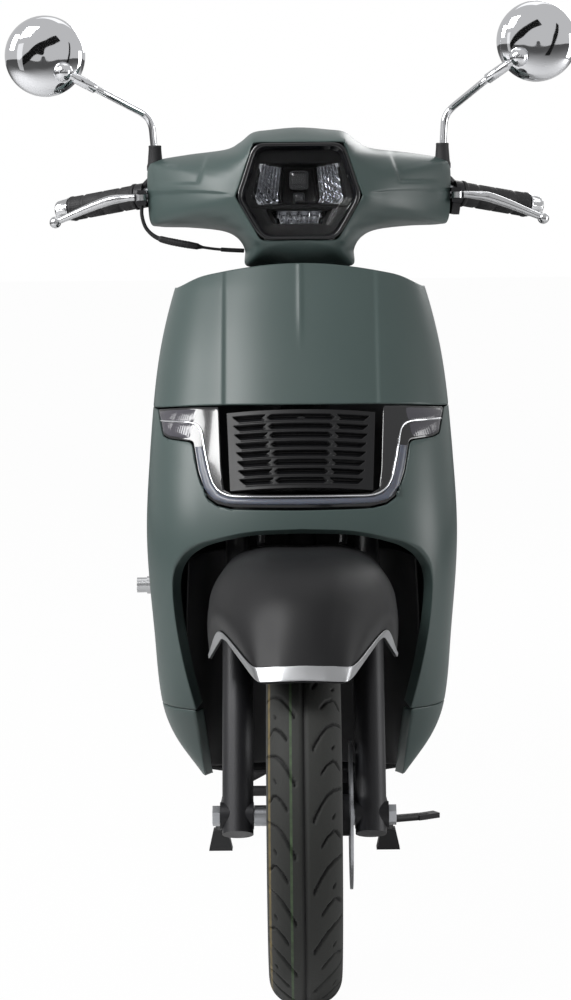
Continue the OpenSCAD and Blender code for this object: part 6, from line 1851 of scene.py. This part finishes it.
def seat_rings(steps=110, sides=112):
    """Slices along the seat: a squared oval with a crowned top and a waist under it."""
    row = spline(SEAT_ROWS, np.linspace(0, 1, steps))
    c, s = circle(full_turn(sides)).T[:, None]
    half = row[:, 1:2] * SEAT_HALF * SEAT_SHRINK
    x = half * squared(c, 0.55)
    up = 0.5 + 0.5 * squared(s, 0.6)
    crown = 1 - 0.12 * (x / half) ** 2
    waist = 1 - 0.05 * np.sin(math.pi * np.minimum(1, 1.2 * up))
    y = SEAT_FRONT + SEAT_INSET + row[:, :1] * (SEAT_END - SEAT_FRONT - 2 * SEAT_INSET)
    z = SEAT_FLOOR + row[:, 2:] * SEAT_HIGH * SEAT_SHRINK * up * crown
    return np.stack([x * waist, np.broadcast_to(y, x.shape), z], -1)[:, ::-1]


seat = loft("seat_upholstery", seat_rings(), "seat_cushion")

# %% [markdown]
# ## Swelling the cover
# Upholstery is a cover pulled over foam that pushes back. The form is remeshed into even faces and blown up
# as cloth, with its underside held where staples would hold it, so the sides bulge between the edges. The
# swelling has a limit, so that the seat keeps its size.

# %% Cloth under pressure
SEAT_VOXEL = 0.006
HELD_BAND = 5
PUFF_PRESSURE = 4.0
PUFF_FRAMES = 20
PUFF_CAP = 6.0


def read_points(mesh):
    """Points of a mesh as an array."""
    points = np.empty(len(mesh.vertices) * 3, np.float32)
    mesh.vertices.foreach_get("co", points)
    return points.reshape(-1, 3).astype(float)


def baked(piece):
    """Mesh of a piece with its modifiers worked in."""
    return bpy.data.meshes.new_from_object(piece.evaluated_get(bpy.context.evaluated_depsgraph_get()))


def swap_mesh(piece, mesh):
    """Piece with its modifiers removed and another mesh in place of its own."""
    piece.modifiers.clear()
    piece.data = mesh


def puff(piece):
    """Remesh the piece, let cloth under pressure swell it with its underside held, and cap the move."""
    remesh = piece.modifiers.new("remesh", "REMESH")
    remesh.mode = "VOXEL"
    remesh.voxel_size = SEAT_VOXEL
    swap_mesh(piece, baked(piece))
    start = read_points(piece.data)
    held = piece.vertex_groups.new(name="held")
    low = start[:, 2] < (SEAT_FLOOR + HELD_BAND) * MM
    held.add(np.flatnonzero(low).tolist(), 1.0, "REPLACE")
    cloth = piece.modifiers.new("cloth", "CLOTH")
    cloth.settings.use_pressure = True
    cloth.settings.uniform_pressure_force = PUFF_PRESSURE
    cloth.settings.effector_weights.gravity = 0.0
    cloth.settings.vertex_group_mass = "held"
    for step in range(1, PUFF_FRAMES + 1):
        scene.frame_set(step)
    swollen = baked(piece)
    move = read_points(swollen) - start
    length = np.linalg.norm(move, axis=1, keepdims=True)
    move *= np.minimum(1, PUFF_CAP * MM / np.maximum(length, 1e-9))
    swollen.vertices.foreach_set("co", (start + move).astype(np.float32).ravel())
    swap_mesh(piece, swollen)
    scene.frame_set(1)
    piece.vertex_groups.clear()


# %% [markdown]
# ## Sewing
# Two sewn channels cross the seat and a seam runs round its side, where the panels of the cover meet. Thread
# pulls the cover into the foam there. Narrow bell curves, pressed into the swollen form, do the same.

# %% Seams
CHANNELS = (0.5, 0.74)
CHANNEL_DEPTH, CHANNEL_TIGHT = 3.0, 110
SEAM_UP, SEAM_HALF, SEAM_DEPTH = 0.62, 0.022, 1.6


def sew(piece):
    """Smooth and subdivide the piece once, then press channels across it and a seam round its side."""
    ease = piece.modifiers.new("ease", "SMOOTH")
    ease.factor = 0.5
    ease.iterations = 4
    finer = piece.modifiers.new("finer", "SUBSURF")
    finer.levels = 1
    finer.render_levels = 1
    swap_mesh(piece, baked(piece))
    points = read_points(piece.data)
    share = ((points[:, 1] - FRONT_AXLE[1]) / MM - SEAT_FRONT) / (SEAT_END - SEAT_FRONT)
    row_share = np.interp(share, np.array(SEAT_ROWS)[:, 0], np.linspace(0, 1, len(SEAT_ROWS)))
    row = spline(SEAT_ROWS, row_share)
    up = (points[:, 2] / MM - SEAT_FLOOR) / (row[:, 2] * SEAT_HIGH)
    channel = sum(np.exp(-(((share - at) * CHANNEL_TIGHT) ** 2)) for at in CHANNELS)
    points[:, 2] -= MM * CHANNEL_DEPTH * channel * smooth_step(up, 0.4, 0.8)
    at_side = smooth_step(np.abs(points[:, 0]) / MM / SEAT_HALF, 0.3, 0.55)
    seam = np.exp(-(((up - SEAM_UP) / SEAM_HALF) ** 2)) * at_side
    points[:, 0] -= MM * SEAM_DEPTH * seam * np.sign(points[:, 0])
    piece.data.vertices.foreach_set("co", points.astype(np.float32).ravel())
    piece.data.polygons.foreach_set("use_smooth", np.ones(len(piece.data.polygons), bool))
    piece.data.update()


puff(seat)
sew(seat)
print("seat:", len(seat.data.polygons), "faces")
